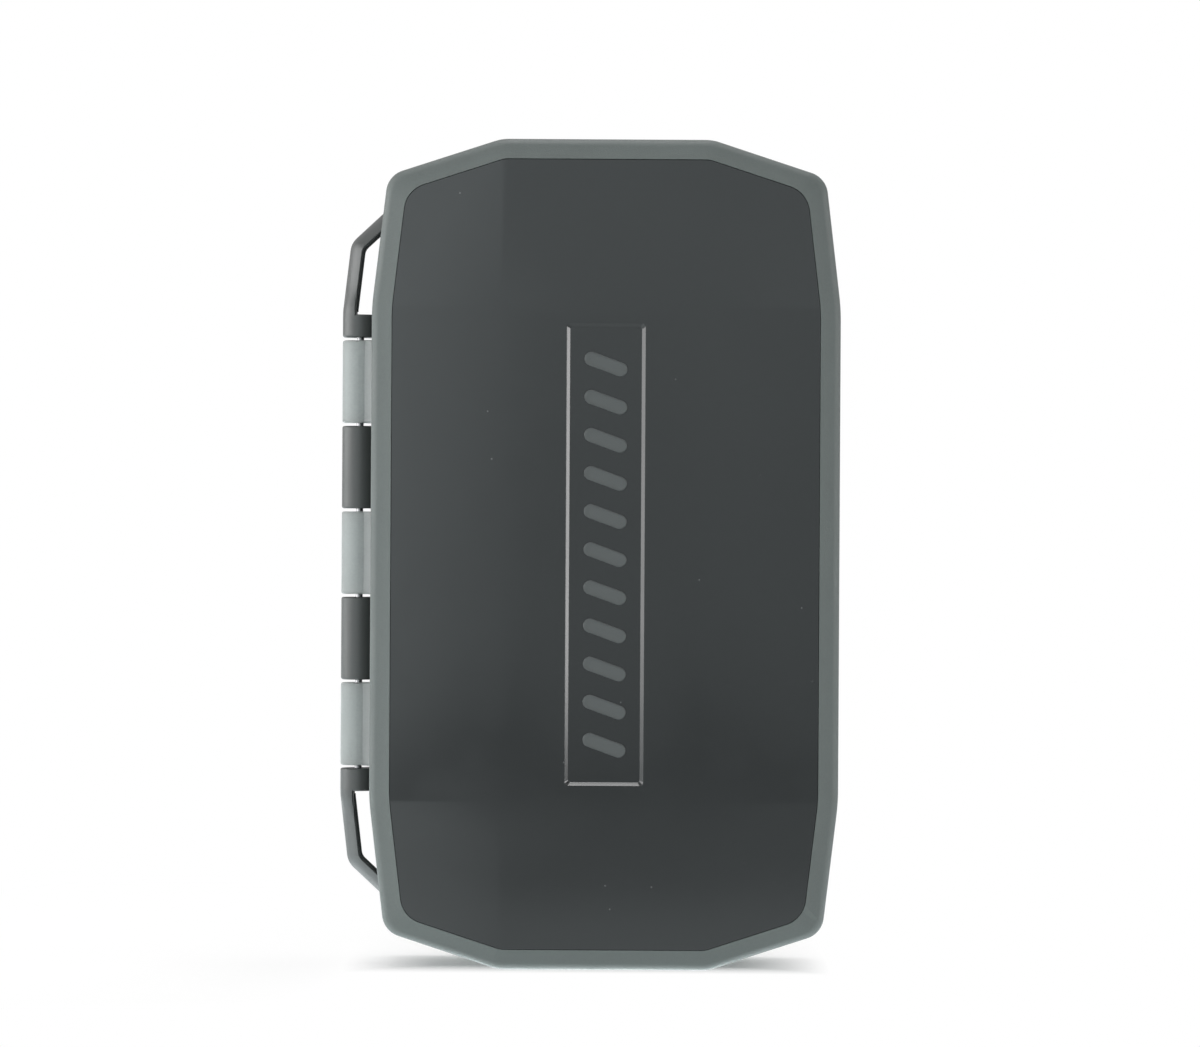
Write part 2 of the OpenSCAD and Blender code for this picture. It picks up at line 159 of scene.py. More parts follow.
class TraySizes(bpy.types.PropertyGroup):
    """Inner trays, with the seal and the magnet bosses."""

    wall: size("Wall", "Thickness of the tray walls", 1.4)
    floor: size("Floor", "Thickness of the tray floors", 1)
    gap: size("Gap", "Gap between a tray and its frame", 0.12)
    flange_width: size("Flange width", "Width of the flange round the mouth", 3.2)
    flange_thick: size("Flange thickness", "Thickness of the flange", 1.8)
    floor_fillet: size("Floor fillet", "Rounding between a tray's wall and floor", 0.8)
    edge_round: size("Edge round", "Rounding of a tray's edges", 0.25)
    seal_width: size("Seal width", "Width of the seal's groove", 1.3)
    seal_depth: size("Seal depth", "Depth of the seal's groove", 1)
    seal_rise: size("Seal rise", "How far the seal stands out of its groove", 0.15)
    seal_gap: size("Seal gap", "Gap on each side of the seal", 0.05)
    magnet_radius: size("Magnet radius", "Radius of a magnet", 3.5)
    magnet_thick: size("Magnet thickness", "Thickness of a magnet", 3)
    magnet_gap: size("Magnet gap", "Gap round a magnet and its cover", 0.06)
    boss_wall: size("Boss wall", "Wall round a magnet's cover", 1.2)
    cover_lap: size("Cover lap", "How far a cover reaches past its magnet", 0.8)
    cover_thick: size("Cover thickness", "Thickness of a magnet cover", 0.7)
    cover_sink: size("Cover sink", "How far a cover lies below the tray's edge", 0.1)


class HingeSizes(bpy.types.PropertyGroup):
    """Knuckles, pin bores and lanyard loops."""

    axis_offset: size("Axis offset", "From the side of the case to the hinge axis", 3.25)
    barrel_radius: size("Barrel radius", "Radius of the hinge barrel", 4)
    knuckle_length: size("Knuckle length", "Length of a full knuckle", 18.6)
    knuckle_gap: size("Knuckle gap", "Gap between knuckles", 0.7)
    knuckle_count: count("Knuckles", "Full knuckles along the hinge", 5)
    end_knuckle: size("End knuckle", "Length of the short knuckle at each end", 5.1)
    knuckle_round: size("Knuckle round", "Rounding of a knuckle's ends", 0.45)
    gusset_run: size("Gusset run", "Width of the slope between a web and the side of the case", 2.1)
    gusset_rise: size("Gusset rise", "Height of that slope", 1.9)
    web: size("Web", "Thickness of the webs that carry the knuckles", 2.2)
    lid_bore: size("Lid bore", "Radius of the bore in the lid's knuckles", 0.88)
    base_bore: size("Base bore", "Radius of the bore in the base's knuckles", 0.82)
    barrel_gap: size("Barrel gap", "Clearance round the barrel", 0.4)
    loop_reach: size("Loop reach", "How far a loop reaches past the hinge", 16.3)
    loop_bar: size("Loop bar", "Width of the loop's bar", 3.5)
    loop_round: size("Loop bend", "Radius of the loop's outer bend", 4.5)
    loop_fillet: size("Loop fillet", "Radius of the bend inside the loop", 2.4)
    foot_fillet: size("Foot fillet", "Radius of the corner at the loop's foot", 0.6)
    loop_front: size("Loop front", "Reach of the loop in front of the axis", 2.6)
    loop_back: size("Loop back", "Reach of the loop behind the axis", 2.2)
    loop_slope: angle("Loop slope", "Slope of the loop's outer stretch", 47)
    loop_gap: size("Loop gap", "Clearance between a loop and the lid", 0.6)
    loop_foot: size("Loop foot", "Length of the fairing between the last knuckle and the loop's bar", 7)
    loop_steep: angle("Steep slope", "Slope of the bar's front at its outer edge", 72)
    loop_flat: angle("Flat slope", "Slope of the bar's front at its inner edge", 36)
    loop_edge: size("Loop edge", "Rounding of the bar's outer back edge", 1.05)
    inner_edge: size("Inner edge", "Rounding of the bar's inner edges", 0.4)
    seam_width: size("Seam width", "Width of the seam inside the loop's bar", 0.6)
    seam_rise: size("Seam rise", "Height of the seam inside the loop's bar", 0.4)


class FoamSizes(bpy.types.PropertyGroup):
    """Ridged foam with slits."""

    base: size("Base", "Thickness of the foam under its ridges", 2.2)
    ridge_height: size("Ridge height", "Height of a ridge", 4)
    ridge_foot: size("Ridge foot", "Width of a ridge at its foot", 6.4)
    ridge_top: size("Ridge top", "Width of a ridge at its top", 4.4)
    ridge_pitch: size("Ridge pitch", "Distance between ridges", 14)
    ridge_round: size("Ridge round", "Rounding of a ridge's top", 1.1)
    sheet_round: size("Sheet round", "Rounding of the edge of the foam under the ridges", 0.4)
    tooth_round: size("Tooth round", "Rounding of a ridge's edges at the slits", 0.35)
    gap: size("Gap", "Gap between the foam and its tray", 0.4)
    slit_pitch: size("Slit pitch", "Distance between slits along a ridge", 6.8)
    slit_width: size("Slit width", "Width of a slit", 0.35)
    slit_depth: size("Slit depth", "Depth of a slit", 3.1)


class FinishColours(bpy.types.PropertyGroup):
    """Colours of the finishes."""

    shell: colour("Frames", "Matte grey with a green tint", 0.088, 0.104, 0.100)
    panel: colour("Panels", "Smoky dark grey", 0.0110, 0.0130, 0.0135)
    dust: colour("Dust", "Pale specks on the panels", 0.20, 0.21, 0.21)
    lid_tray: colour("Lid tray", "Light grey", 0.310, 0.342, 0.338)
    base_tray: colour("Base tray", "Dark grey", 0.037, 0.041, 0.040)
    bars: colour("Bars", "Frosted grey of the raised bars", 0.055, 0.062, 0.062)
    foam: colour("Foam", "Pale grey foam", 0.560, 0.570, 0.550)
    seal: colour("Seal", "Black rubber", 0.014, 0.014, 0.015)
    steel: colour("Steel", "Drawn steel", 0.330, 0.330, 0.335)
    nickel: colour("Nickel", "Plated magnets", 0.610, 0.600, 0.580)


class StageSizes(bpy.types.PropertyGroup):
    """Camera, floor and light."""

    view_width: size("View width", "Width of the view at the lid's face", 266.5)
    camera_distance: size("Camera distance", "From the camera to the lid's face", 1000)
    camera_left: size("Camera left", "How far the camera stands to the left of the case's middle", 1.15)
    camera_up: size("Camera height", "How far the camera stands above the case's middle", 6.9)
    camera_roll: angle("Camera roll", "Roll of the camera", -0.33)
    floor_size: size("Floor size", "Width of the floor", 3000)
    floor_front: size("Floor front", "How far the floor reaches in front of the case", 950)
    shadow_width: size("Shadow width", "Width of the stretch of floor that shows shadow", 110)
    shadow_depth: size("Shadow depth", "Half the depth of that stretch", 160)
    shadow_middle: size("Shadow middle", "How far behind the case's middle that stretch has its own", 60)
    shadow_start: size("Shadow start", "Where the shadow starts in front of the case's middle", 6)
    shadow_end: size("Shadow end", "Where it ends in front of the case's middle", 23)
    lid_shadow: size("Lid's shadow", "How far to the left a like stretch lies for the opened lid", 107)
    lid_fade: brightness("Lid's fade", "Share of plain white over the opened lid's shadow", 0.7)
    floor_glow: brightness("Floor glow", "How much brighter the camera sees the floor", 0.12)
    room_size: size("Room size", "Width of the sheet that reflections see behind the camera", 3600)
    room_gap: size("Room gap", "From the camera to that sheet", 280)
    front_level: brightness("Front level", "Level of the light from the camera's side", 0.45)
    back_level: brightness("Back level", "Level of the light from the white background", 0.9)


# ---------------------------------------------------------------- the case's outline


def spread(start, stop, steps):
    """Evenly spaced values from start to stop, both included."""
    return [start + (stop - start) * k / steps for k in range(steps + 1)]


def turned_left(vector):
    return Vector((-vector.y, vector.x))


def side_normals(points, i):
    """Inward normals of the sides before and after corner i of an anticlockwise polygon."""
    before = (points[i] - points[i - 1]).normalized()
    after = (points[(i + 1) % len(points)] - points[i]).normalized()
    return turned_left(before), turned_left(after)


def moved_corner(points, i, inset):
    """Corner i after all sides have moved inwards."""
    before, after = side_normals(points, i)
    return points[i] + inset * (before + after) / (1 + before.dot(after))


def corner_arc(points, i, inset, radius, steps):
    """Points of the arc that rounds corner i after all sides have moved inwards."""
    before, after = side_normals(points, i)
    start = atan2(-before.y, -before.x)
    turn = acos(min(1, before.dot(after)))
    centre = moved_corner(points, i, inset + radius)
    return [centre + radius * Vector((cos(start + t), sin(start + t))) for t in spread(0, turn, steps)]


class Case:
    """Derived sizes of the case, and the functions that lay points on it."""

    # Corners of the outline, anticlockwise from the upper end of the right side's straight stretch.
    KINDS = ("side", "corner", "end", "end", "corner", "side") * 2

    # The two corners away from the hinge, where the magnets lie.
    BOSS_CORNERS = (1, 10)

    # Steps of the arcs at the corners, and at the gentler bends between them.
    CORNER_STEPS = 18
    BEND_STEPS = 6

    def __init__(self):
        scene = bpy.context.scene
        self.form = scene.fly_box_case
        self.panel = scene.fly_box_panel
        self.tray = scene.fly_box_tray
        self.hinge = scene.fly_box_hinge
        self.foam = scene.fly_box_foam
        length = LID_SHELL[1].z - LID_SHELL[0].z
        width = LID_SHELL[1].x - LID_SHELL[0].x
        form, tray, hinge = self.form, self.tray, self.hinge
        quarter = [
            Vector((width / 2, form.straight_side / 2)),
            Vector((width / 2 - form.corner_inset, length / 2 - form.corner_drop)),
            Vector((form.end_flat / 2, length / 2)),
        ]
        half = quarter + [Vector((-p.x, p.y)) for p in reversed(quarter)]
        self.corners = half + [-p for p in half]
        self.width = width
        self.length = length
        self.fold_x = form.end_flat / 2
        self.fold_z = form.straight_side / 2
        self.taper = form.corner_inset / (length / 2 - form.corner_drop - self.fold_z)

        # Depths from the parting plane: of the edges along it, and of each rim where it stands highest.
        self.edge = form.parting_gap / 2
        self.depth = {
            LID: -LID_PANEL[0].y + self.panel.step,
            BASE: BASE_PANEL[1].y + self.panel.step,
        }

        # The hinge, and how far the case's side runs straight past its end.
        self.axis_x = -width / 2 - hinge.axis_offset
        pitch = hinge.knuckle_length + hinge.knuckle_gap
        self.hinge_half = (hinge.knuckle_count * pitch + hinge.knuckle_gap) / 2 + hinge.end_knuckle
        self.knuckle_pitch = pitch
        self.straight_left = self.fold_z - self.hinge_half

        # How far inside the case's outline the tray, its room, its mouth and the seal's groove begin.
        self.tray_inset = form.wall + tray.gap
        self.room_inset = self.tray_inset + tray.wall
        self.mouth_inset = self.tray_inset + tray.flange_width
        self.seal_inset = self.tray_inset + (tray.flange_width - tray.seal_width) / 2

        self.cover_radius = tray.magnet_radius + tray.cover_lap
        self.boss_radius = self.cover_radius + tray.magnet_gap + tray.boss_wall
        self.boss_face = self.edge + tray.cover_sink
        boss_inset = self.mouth_inset + self.boss_radius - tray.boss_wall / 2
        self.bosses = [moved_corner(self.corners, i, boss_inset) for i in self.BOSS_CORNERS]

    def radius_at(self, i, inset):
        """Radius of corner i at an inset: the four main corners grow towards the panel's radius."""
        form = self.form
        if self.KINDS[i] == "corner":
            return form.corner_radius + (self.panel.radius - form.corner_radius) * inset / form.rim_width
        gentle = form.side_radius if self.KINDS[i] == "side" else form.end_radius
        return max(gentle - inset, form.corner_radius / 4)

    def outline(self, inset):
        """The case's outline after all its sides have moved inwards."""
        points = []
        for i, kind in enumerate(self.KINDS):
            steps = self.CORNER_STEPS if kind == "corner" else self.BEND_STEPS
            points += corner_arc(self.corners, i, inset, self.radius_at(i, inset), steps)
        return points

    def face_drop(self, p):
        """How far a folded face lies below its middle."""
        across = tan(self.form.side_tilt) * max(0, abs(p.x) - self.fold_x)
        along = tan(self.form.end_tilt) * max(0, abs(p.y) - self.fold_z)
        return across + along

    def seat_depth(self, side):
        """Depth of the ledge that a panel rests on."""
        lowest = min(self.depth[side] - self.face_drop(p) for p in self.outline(self.form.rim_width))
        return lowest - self.panel.edge

    def ceiling_depth(self, side):
        """Depth of the ledge's inner face, which the tray's floor lies behind."""
        return self.seat_depth(side) - self.panel.ledge_wall

    def floor_depth(self, side):
        """Depth of a tray's inner floor."""
        return self.ceiling_depth(side) - self.tray.gap - self.tray.floor

    def place(self, p, depth, side):
        """A point of the outline plane, at a depth from the parting plane."""
        return Vector((CENTRE.x + p.x, side * depth, CENTRE.z + p.y))

    def ring(self, inset, depth, side, folded=False):
        """The outline at an inset and a depth, on the folded face's slopes if it is folded."""
        return [
            self.place(p, depth - (self.face_drop(p) if folded else 0), side) for p in self.outline(inset)
        ]

    def knuckles(self, first):
        """Every second full knuckle, as (low, high) from the hinge's middle."""
        half = self.hinge.knuckle_length / 2
        middles = [
            (i - (self.hinge.knuckle_count - 1) / 2) * self.knuckle_pitch
            for i in range(first, self.hinge.knuckle_count, 2)
        ]
        return [(z - half, z + half) for z in middles]

    def spans(self, side):
        """All knuckles of one side: the lid has every second full one, and the base has the rest."""
        if side == LID:
            return self.knuckles(first=0)
        inner = self.hinge_half - self.hinge.end_knuckle
        return self.knuckles(first=1) + [(inner, self.hinge_half), (-self.hinge_half, -inner)]

    def past_hinge(self, x, y, z, end):
        """A point x and y from the hinge's axis, and z past its upper (1) or lower (-1) end."""
        return Vector((CENTRE.x + self.axis_x + x, y, CENTRE.z + end * (self.hinge_half + z)))


# ---------------------------------------------------------------- mesh helpers


def placed(name, data):
    """An object for a mesh, a light or a camera, linked to the scene."""
    made = bpy.data.objects.new(name, data)
    bpy.context.scene.collection.objects.link(made)
    return made


def outward_mesh(name, bm):
    """A mesh from a bmesh, with its faces outwards. The bmesh is used up."""
    bmesh.ops.recalc_face_normals(bm, faces=bm.faces)
    mesh = bpy.data.meshes.new(name)
    bm.to_mesh(mesh)
    bm.free()
    return mesh


def new_piece(name, bm):
    """An object from a bmesh, with its doubles merged and its faces outwards."""
    bmesh.ops.remove_doubles(bm, verts=bm.verts, dist=WELD)
    return placed(name, outward_mesh(name, bm))


def add_skin(bm, rings, closed=False):
    """Joins each ring to the next, and a closed skin's last ring to its first. Returns their vertices."""
    loops = [[bm.verts.new(p) for p in ring] for ring in rings]
    pairs = list(zip(loops, loops[1:]))
    if closed:
        pairs.append((loops[-1], loops[0]))
    for a, b in pairs:
        for i in range(len(a)):
            j = (i + 1) % len(a)
            bm.faces.new((a[i], a[j], b[j], b[i]))
    return loops


def skinned(name, rings, closed=False):
    """A piece skinned over rings. One that isn't closed on itself gets end caps."""
    bm = bmesh.new()
    loops = add_skin(bm, rings, closed)
    if not closed:
        bm.faces.new(loops[0])
        bm.faces.new(reversed(loops[-1]))
    return new_piece(name, bm)


def applied(piece):
    """Turns the piece's modifiers into plain mesh."""
    graph = bpy.context.evaluated_depsgraph_get()
    mesh = bpy.data.meshes.new_from_object(piece.evaluated_get(graph))
    piece.modifiers.clear()
    old = piece.data
    piece.data = mesh
    bpy.data.meshes.remove(old)
    return piece


def combine(piece, tools, operation):
    """Boolean of a piece with each tool in turn. The tools are used up."""
    for tool in tools:
        step = piece.modifiers.new("combine", "BOOLEAN")
        step.operation = operation
        step.solver = "EXACT"
        step.object = tool
        applied(piece)
        bpy.data.objects.remove(tool)
    return piece


def finished(piece, material, sharp=SHARP_ANGLE):
    """Smooth shading that keeps sharp edges and flat faces, and the piece's one material."""
    bm = bmesh.new()
    bm.from_mesh(piece.data)
    bmesh.ops.remove_doubles(bm, verts=bm.verts, dist=WELD)
    bmesh.ops.dissolve_degenerate(bm, edges=bm.edges, dist=WELD)
    for face in bm.faces:
        face.smooth = True
    for edge in bm.edges:
        edge.smooth = len(edge.link_faces) == 2 and edge.calc_face_angle(0) < sharp
    bm.to_mesh(piece.data)
    bm.free()
    piece.data.materials.clear()
    piece.data.materials.append(material)
    weighting = piece.modifiers.new("weighting", "WEIGHTED_NORMAL")
    weighting.keep_sharp = True
    return applied(piece)


def joined(name, pieces):
    """One object from several that share a material, all with their places in their meshes."""
    bm = bmesh.new()
    for piece in pieces:
        bm.from_mesh(piece.data)
    material = pieces[0].data.materials[0]
    for piece in pieces:
        bpy.data.objects.remove(piece)
    mesh = outward_mesh(name, bm)
    mesh.materials.append(material)
    return placed(name, mesh)


def block(low, high):
    """A box between two corners, as a tool."""
    span = high - low
    square = ((0, 0), (1, 0), (1, 1), (0, 1))
    rings = [[low + Vector((x * span.x, y * span.y, z * span.z)) for x, y in square] for z in (0, 1)]
    return skinned("block", rings)


def lathed(profile, centre, axis, steps=96):
    """A solid turned about an axis through centre; profile is a list of (radius, height)."""
    axis = Vector(axis)
    across = axis.orthogonal().normalized()
    other = axis.cross(across)
    rings = [
        [
            centre + axis * height + radius * (across * cos(turn) + other * sin(turn))
            for turn in spread(0, 2 * pi, steps)[:-1]
        ]
        for radius, height in profile
    ]
    return skinned("turned", rings)


def rod(case, radius, low, high):
    """A rod on the hinge axis, as a tool."""
    foot = Vector((CENTRE.x + case.axis_x, 0, CENTRE.z))
    return lathed([(radius, low), (radius, high)], foot, (0, 0, 1))


def turned_out(case, profile, at, side):
    """A turned solid whose axis crosses the parting plane; profile is (radius, depth)."""
    centre = case.place(at, 0, side)
    return lathed(profile, centre, (0, side, 0), steps=64)


def slab(case, inset, deep, shallow, side):
    """The case's outline, moved inwards, between two depths, as a tool."""
    return skinned("slab", [case.ring(inset, deep, side), case.ring(inset, shallow, side)])


def quarter_round(radius, start, stop, steps=4):
    """(across, along) of an arc's points between two angles in degrees, for an edge of that radius."""
    turns = [radians(degrees) for degrees in spread(start, stop, steps)]
    return [(radius * (1 - cos(t)), radius * (1 - sin(t))) for t in turns]


# ---------------------------------------------------------------- materials


class Nodes:
    """A node tree under construction."""

    # The Mix node's colour sockets share their names with others, so they go by number.
    FIRST_COLOUR, SECOND_COLOUR, MIXED_COLOUR = 6, 7, 2

    def __init__(self, tree):
        self.nodes = tree.nodes
        self.links = tree.links

    def feed(self, node, inputs):
        """Links each input of a node to a socket, or sets it to a value."""
        for key, value in inputs.items():
            if isinstance(value, bpy.types.NodeSocket):
                self.links.new(value, node.inputs[key])
            else:
                node.inputs[key].default_value = value

    def add(self, kind, inputs, **settings):
        """Adds a node and returns its outputs."""
        node = self.nodes.new(kind)
        for name, value in settings.items():
            setattr(node, name, value)
        self.feed(node, inputs)
        return node.outputs

    def band(self, value, low, high, out_low, out_high):
        """Maps a value from one range to another, clamped."""
        inputs = {"Value": value, "From Min": low, "From Max": high, "To Min": out_low, "To Max": out_high}
        return self.add("ShaderNodeMapRange", inputs)["Result"]

    def maths(self, operation, a, b=0):
        return self.add("ShaderNodeMath", {0: a, 1: b}, operation=operation)[0]

    def mixed(self, factor, low, high):
        """Colour between two, each a socket or its red, green and blue."""
        inputs = {"Factor": factor}
        for key, shade in ((self.FIRST_COLOUR, low), (self.SECOND_COLOUR, high)):
            inputs[key] = shade if isinstance(shade, bpy.types.NodeSocket) else (*shade, 1)
        return self.add("ShaderNodeMix", inputs, data_type="RGBA")[self.MIXED_COLOUR]


class Finish(Nodes):
    """A material under construction, round a Principled shader."""

    def __init__(self, name, base, roughness):
        self.material = bpy.data.materials.new(name)
        self.material.use_nodes = True
        super().__init__(self.material.node_tree)
        self.shader = self.nodes["Principled BSDF"]
        self.place = self.add("ShaderNodeTexCoord", {})["Object"]
        self.shade({"Base Color": (*base, 1), "Roughness": roughness})

    def shade(self, inputs):
        """Links or sets inputs of the shader."""
        self.feed(self.shader, inputs)

    def show(self, shader):
        """Makes another shader the surface."""
        self.feed(self.nodes["Material Output"], {"Surface": shader})

    def axes(self):
        """X, Y and Z of the place."""
        return self.add("ShaderNodeSeparateXYZ", {0: self.place})

    def noise(self, grain, detail=2.0, roughness=0.5, stretch=None):
        """Noise whose features are about grain metres across, drawn out along an axis by stretch."""
        source = self.place
        if stretch:
            source = self.add("ShaderNodeMapping", {"Vector": source, "Scale": stretch})["Vector"]
        inputs = {"Vector": source, "Scale": 1 / grain, "Detail": detail, "Roughness": roughness}
        return self.add("ShaderNodeTexNoise", inputs)["Fac"]

    def patches(self, grain, low, high, **settings):
        """Noise that runs from 0 where it is low to 1 where it is high."""
        return self.band(self.noise(grain, **settings), low, high, 0, 1)

    def cells(self, width):
        """Distance from the middles of cells of about that width, as a share of it."""
        return self.add("ShaderNodeTexVoronoi", {"Vector": self.place, "Scale": 1 / width})["Distance"]

    def bump(self, height, distance, strength=1.0):
        """Adds a bump of that real height, on top of any bump there is."""
        inputs = {"Height": height, "Distance": distance, "Strength": strength}
        normal = self.shader.inputs["Normal"]
        if normal.is_linked:
            inputs["Normal"] = normal.links[0].from_socket
        self.shade({"Normal": self.add("ShaderNodeBump", inputs)["Normal"]})

    def worn_edges(self, body, shade):
        """Lightens convex edges, where handling has polished them."""
        flat, sharp, most = 0.515, 0.56, 0.5
        edges = self.add("ShaderNodeNewGeometry", {})["Pointiness"]
        self.shade({"Base Color": self.mixed(self.band(edges, flat, sharp, 0, most), body, shade)})


def shaded(base, factor):
    return tuple(min(1, c * factor) for c in base)


def moulded_plastic(name, base, roughness, grain, height, glow=0.0):
    """Matte moulded plastic: a grain of that width and height, soft mottling and lighter edges.

    A milky one lets light glow inside.
    """
    finish = Finish(name, base, roughness)
    finish.shade({"Subsurface Weight": glow, "Subsurface Radius": (1, 1, 1), "Subsurface Scale": 15 * MM})
    if glow:
        finish.shade({"Specular IOR Level": 0.2})
    mottle = finish.patches(9 * MM, 0.3, 0.7, detail=3)
    speckle = finish.patches(grain * 2, 0.35, 0.65)
    cloud = finish.mixed(mottle, shaded(base, 0.94), shaded(base, 1.06))
    body = finish.mixed(finish.maths("MULTIPLY", speckle, 0.35), cloud, shaded(base, 1.16))
    finish.worn_edges(body, shaded(base, 1.35))
    finish.shade({"Roughness": finish.band(mottle, 0, 1, roughness - 0.04, roughness + 0.05)})
    finish.bump(finish.noise(grain, 3, 0.6), height)
    return finish.material


def smoky_panel(name, base, dust):
    """Smooth dark plastic with faint swirls, handling smudges and a few specks of dust."""
    finish = Finish(name, base, 0.15)
    swirl = finish.patches(38 * MM, 0.35, 0.65, roughness=0.4)
    smudge = finish.patches(16 * MM, 0.45, 0.75, detail=4, roughness=0.55)
    specks = dust_specks(finish)
    cloud = finish.mixed(swirl, shaded(base, 0.95), shaded(base, 1.06))
    gloss = finish.band(smudge, 0, 1, 0.13, 0.18)
    gloss = finish.maths("ADD", gloss, finish.maths("MULTIPLY", specks, 0.3))
    finish.shade({"Base Color": finish.mixed(specks, cloud, dust), "Roughness": gloss})
    finish.bump(finish.noise(30 * MM, 1), 0.03 * MM, 0.5)
    finish.bump(finish.noise(0.5 * MM), 0.0015 * MM, 0.5)
    return finish.material


def dust_specks(finish):
    """Sparse specks: the cores of a few cells, where a slow noise lets them through."""
    core = finish.band(finish.cells(5 * MM), 0.025, 0.05, 1, 0)
    chosen = finish.patches(7 * MM, 0.56, 0.6, detail=1)
    return finish.maths("MULTIPLY", finish.maths("MULTIPLY", core, chosen), 0.55)


def slit_foam(name, base):
    """Closed-cell foam: fine open cells on its cut faces and a soft colour variation."""
    finish = Finish(name, base, 0.92)
    pores = finish.band(finish.cells(0.45 * MM), 0.1, 0.6, 0, 1)
    cloud = finish.patches(12 * MM, 0.3, 0.7, detail=3)
    body = finish.mixed(cloud, shaded(base, 0.95), shaded(base, 1.04))
    tone = finish.mixed(finish.maths("MULTIPLY", pores, 0.25), body, shaded(base, 0.72))
    finish.shade({"Base Color": tone, "Sheen Weight": 0.15})
    finish.bump(pores, 0.05 * MM)
    return finish.material


def sealing_rubber(name, base):
    """Black rubber with a pale bloom."""
    finish = Finish(name, base, 0.55)
    bloom = finish.patches(4 * MM, 0.4, 0.7, detail=3)
    tone = finish.mixed(bloom, base, shaded(base, 2.2))
    finish.shade({"Base Color": tone, "Roughness": finish.band(bloom, 0, 1, 0.48, 0.68)})
    finish.bump(finish.noise(0.2 * MM), 0.006 * MM)
    return finish.material


def drawn_steel(name, base):
    """Steel wire with the fine lines of drawing along Z."""
    finish = Finish(name, base, 0.32)
    lines = finish.noise(0.12 * MM, 3, 0.6, stretch=(1, 1, 0.03))
    tone = finish.mixed(finish.band(lines, 0.3, 0.7, 0, 1), shaded(base, 0.8), shaded(base, 1.15))
    gloss = finish.band(lines, 0.3, 0.7, 0.26, 0.42)
    finish.shade({"Metallic": 1, "Base Color": tone, "Roughness": gloss})
    finish.bump(lines, 0.004 * MM)
    return finish.material


def nickel_plate(name, base):
    """Bright plating with a slight haze."""
    finish = Finish(name, base, 0.18)
    haze = finish.noise(2 * MM, 4)
    tone = finish.mixed(haze, shaded(base, 0.9), base)
    gloss = finish.band(haze, 0.3, 0.7, 0.14, 0.28)
    finish.shade({"Metallic": 1, "Base Color": tone, "Roughness": gloss})
    finish.bump(finish.noise(0.3 * MM), 0.002 * MM)
    return finish.material


def plastic(colour, roughness, grain, height, glow=0.0):
    """How a moulded plastic is made, with its grain in millimetres."""
    return moulded_plastic, colour, (roughness, grain * MM, height * MM, glow)


def finishes():
    """All finishes by name, made once."""
    tints = bpy.context.scene.fly_box_colours
    recipes = {
        "textured_shell": plastic(tints.shell, roughness=0.55, grain=0.28, height=0.05),
        "smoky_panel": (smoky_panel, tints.panel, (tuple(tints.dust),)),
        "light_plastic": plastic(tints.lid_tray, roughness=0.34, grain=0.3, height=0.006, glow=1.0),
        "dark_plastic": plastic(tints.base_tray, roughness=0.42, grain=0.3, height=0.012),
        "frosted_bars": plastic(tints.bars, roughness=0.5, grain=0.25, height=0.01),
        "slit_foam": (slit_foam, tints.foam, ()),
        "sealing_rubber": (sealing_rubber, tints.seal, ()),
        "drawn_steel": (drawn_steel, tints.steel, ()),
        "nickel_plate": (nickel_plate, tints.nickel, ()),
    }
    return {
        name: bpy.data.materials.get(name) or maker(name, tuple(base), *settings)
        for name, (maker, base, settings) in recipes.items()
    }


# ---------------------------------------------------------------- frames


def frame_profile(case, side):
    """Stations (inset, depth, folded) round the section of a frame, from its land outwards and back."""
    form, panel = case.form, case.panel
    face = case.depth[side]
    slope = tan(form.rim_tilt)
    radius = form.edge_round / (1 - sin(form.rim_tilt))
    crest = slope * (form.rim_width - form.edge_round)
    seat, ceiling = case.seat_depth(side), case.ceiling_depth(side)
    hole = form.rim_width + panel.ledge_width
    land = [(a, case.edge + b, False) for a, b in quarter_round(form.land_round, 90, 0)]
    edge = [
        (radius * (1 - sin(t)), face - crest - radius * (cos(form.rim_tilt) - cos(t)), True)
        for t in spread(radians(90), form.rim_tilt, steps=14)
    ]
    lip = [
        (form.rim_width - form.lip_round, face - slope * form.lip_round, True),
        (form.rim_width - form.lip_round * 0.3, face - form.lip_round * 0.4, True),
        (form.rim_width, face - form.lip_round, True),
    ]
    inside = [
        (form.rim_width, seat, False),
        (hole, seat, False),
        (hole, ceiling, False),
        (form.wall, ceiling, False),
        (form.wall, case.edge, False),
    ]
    return land + edge + lip + inside


def hinge_block(case, inset, deep, span, side):
    """Box from the hinge axis into a wall, across the parting plane on one side."""
    x = CENTRE.x + case.axis_x
    z = CENTRE.z
    over = case.form.wall / 2
    ys = sorted((-side * over, side * deep))
    low = Vector((x, ys[0], z + span[0]))
    high = Vector((x + case.hinge.axis_offset + inset, ys[1], z + span[1]))
    return block(low, high)


def widened(span, gap):
    """A (low, high) span with a gap added at each end."""
    return span[0] - gap, span[1] + gap


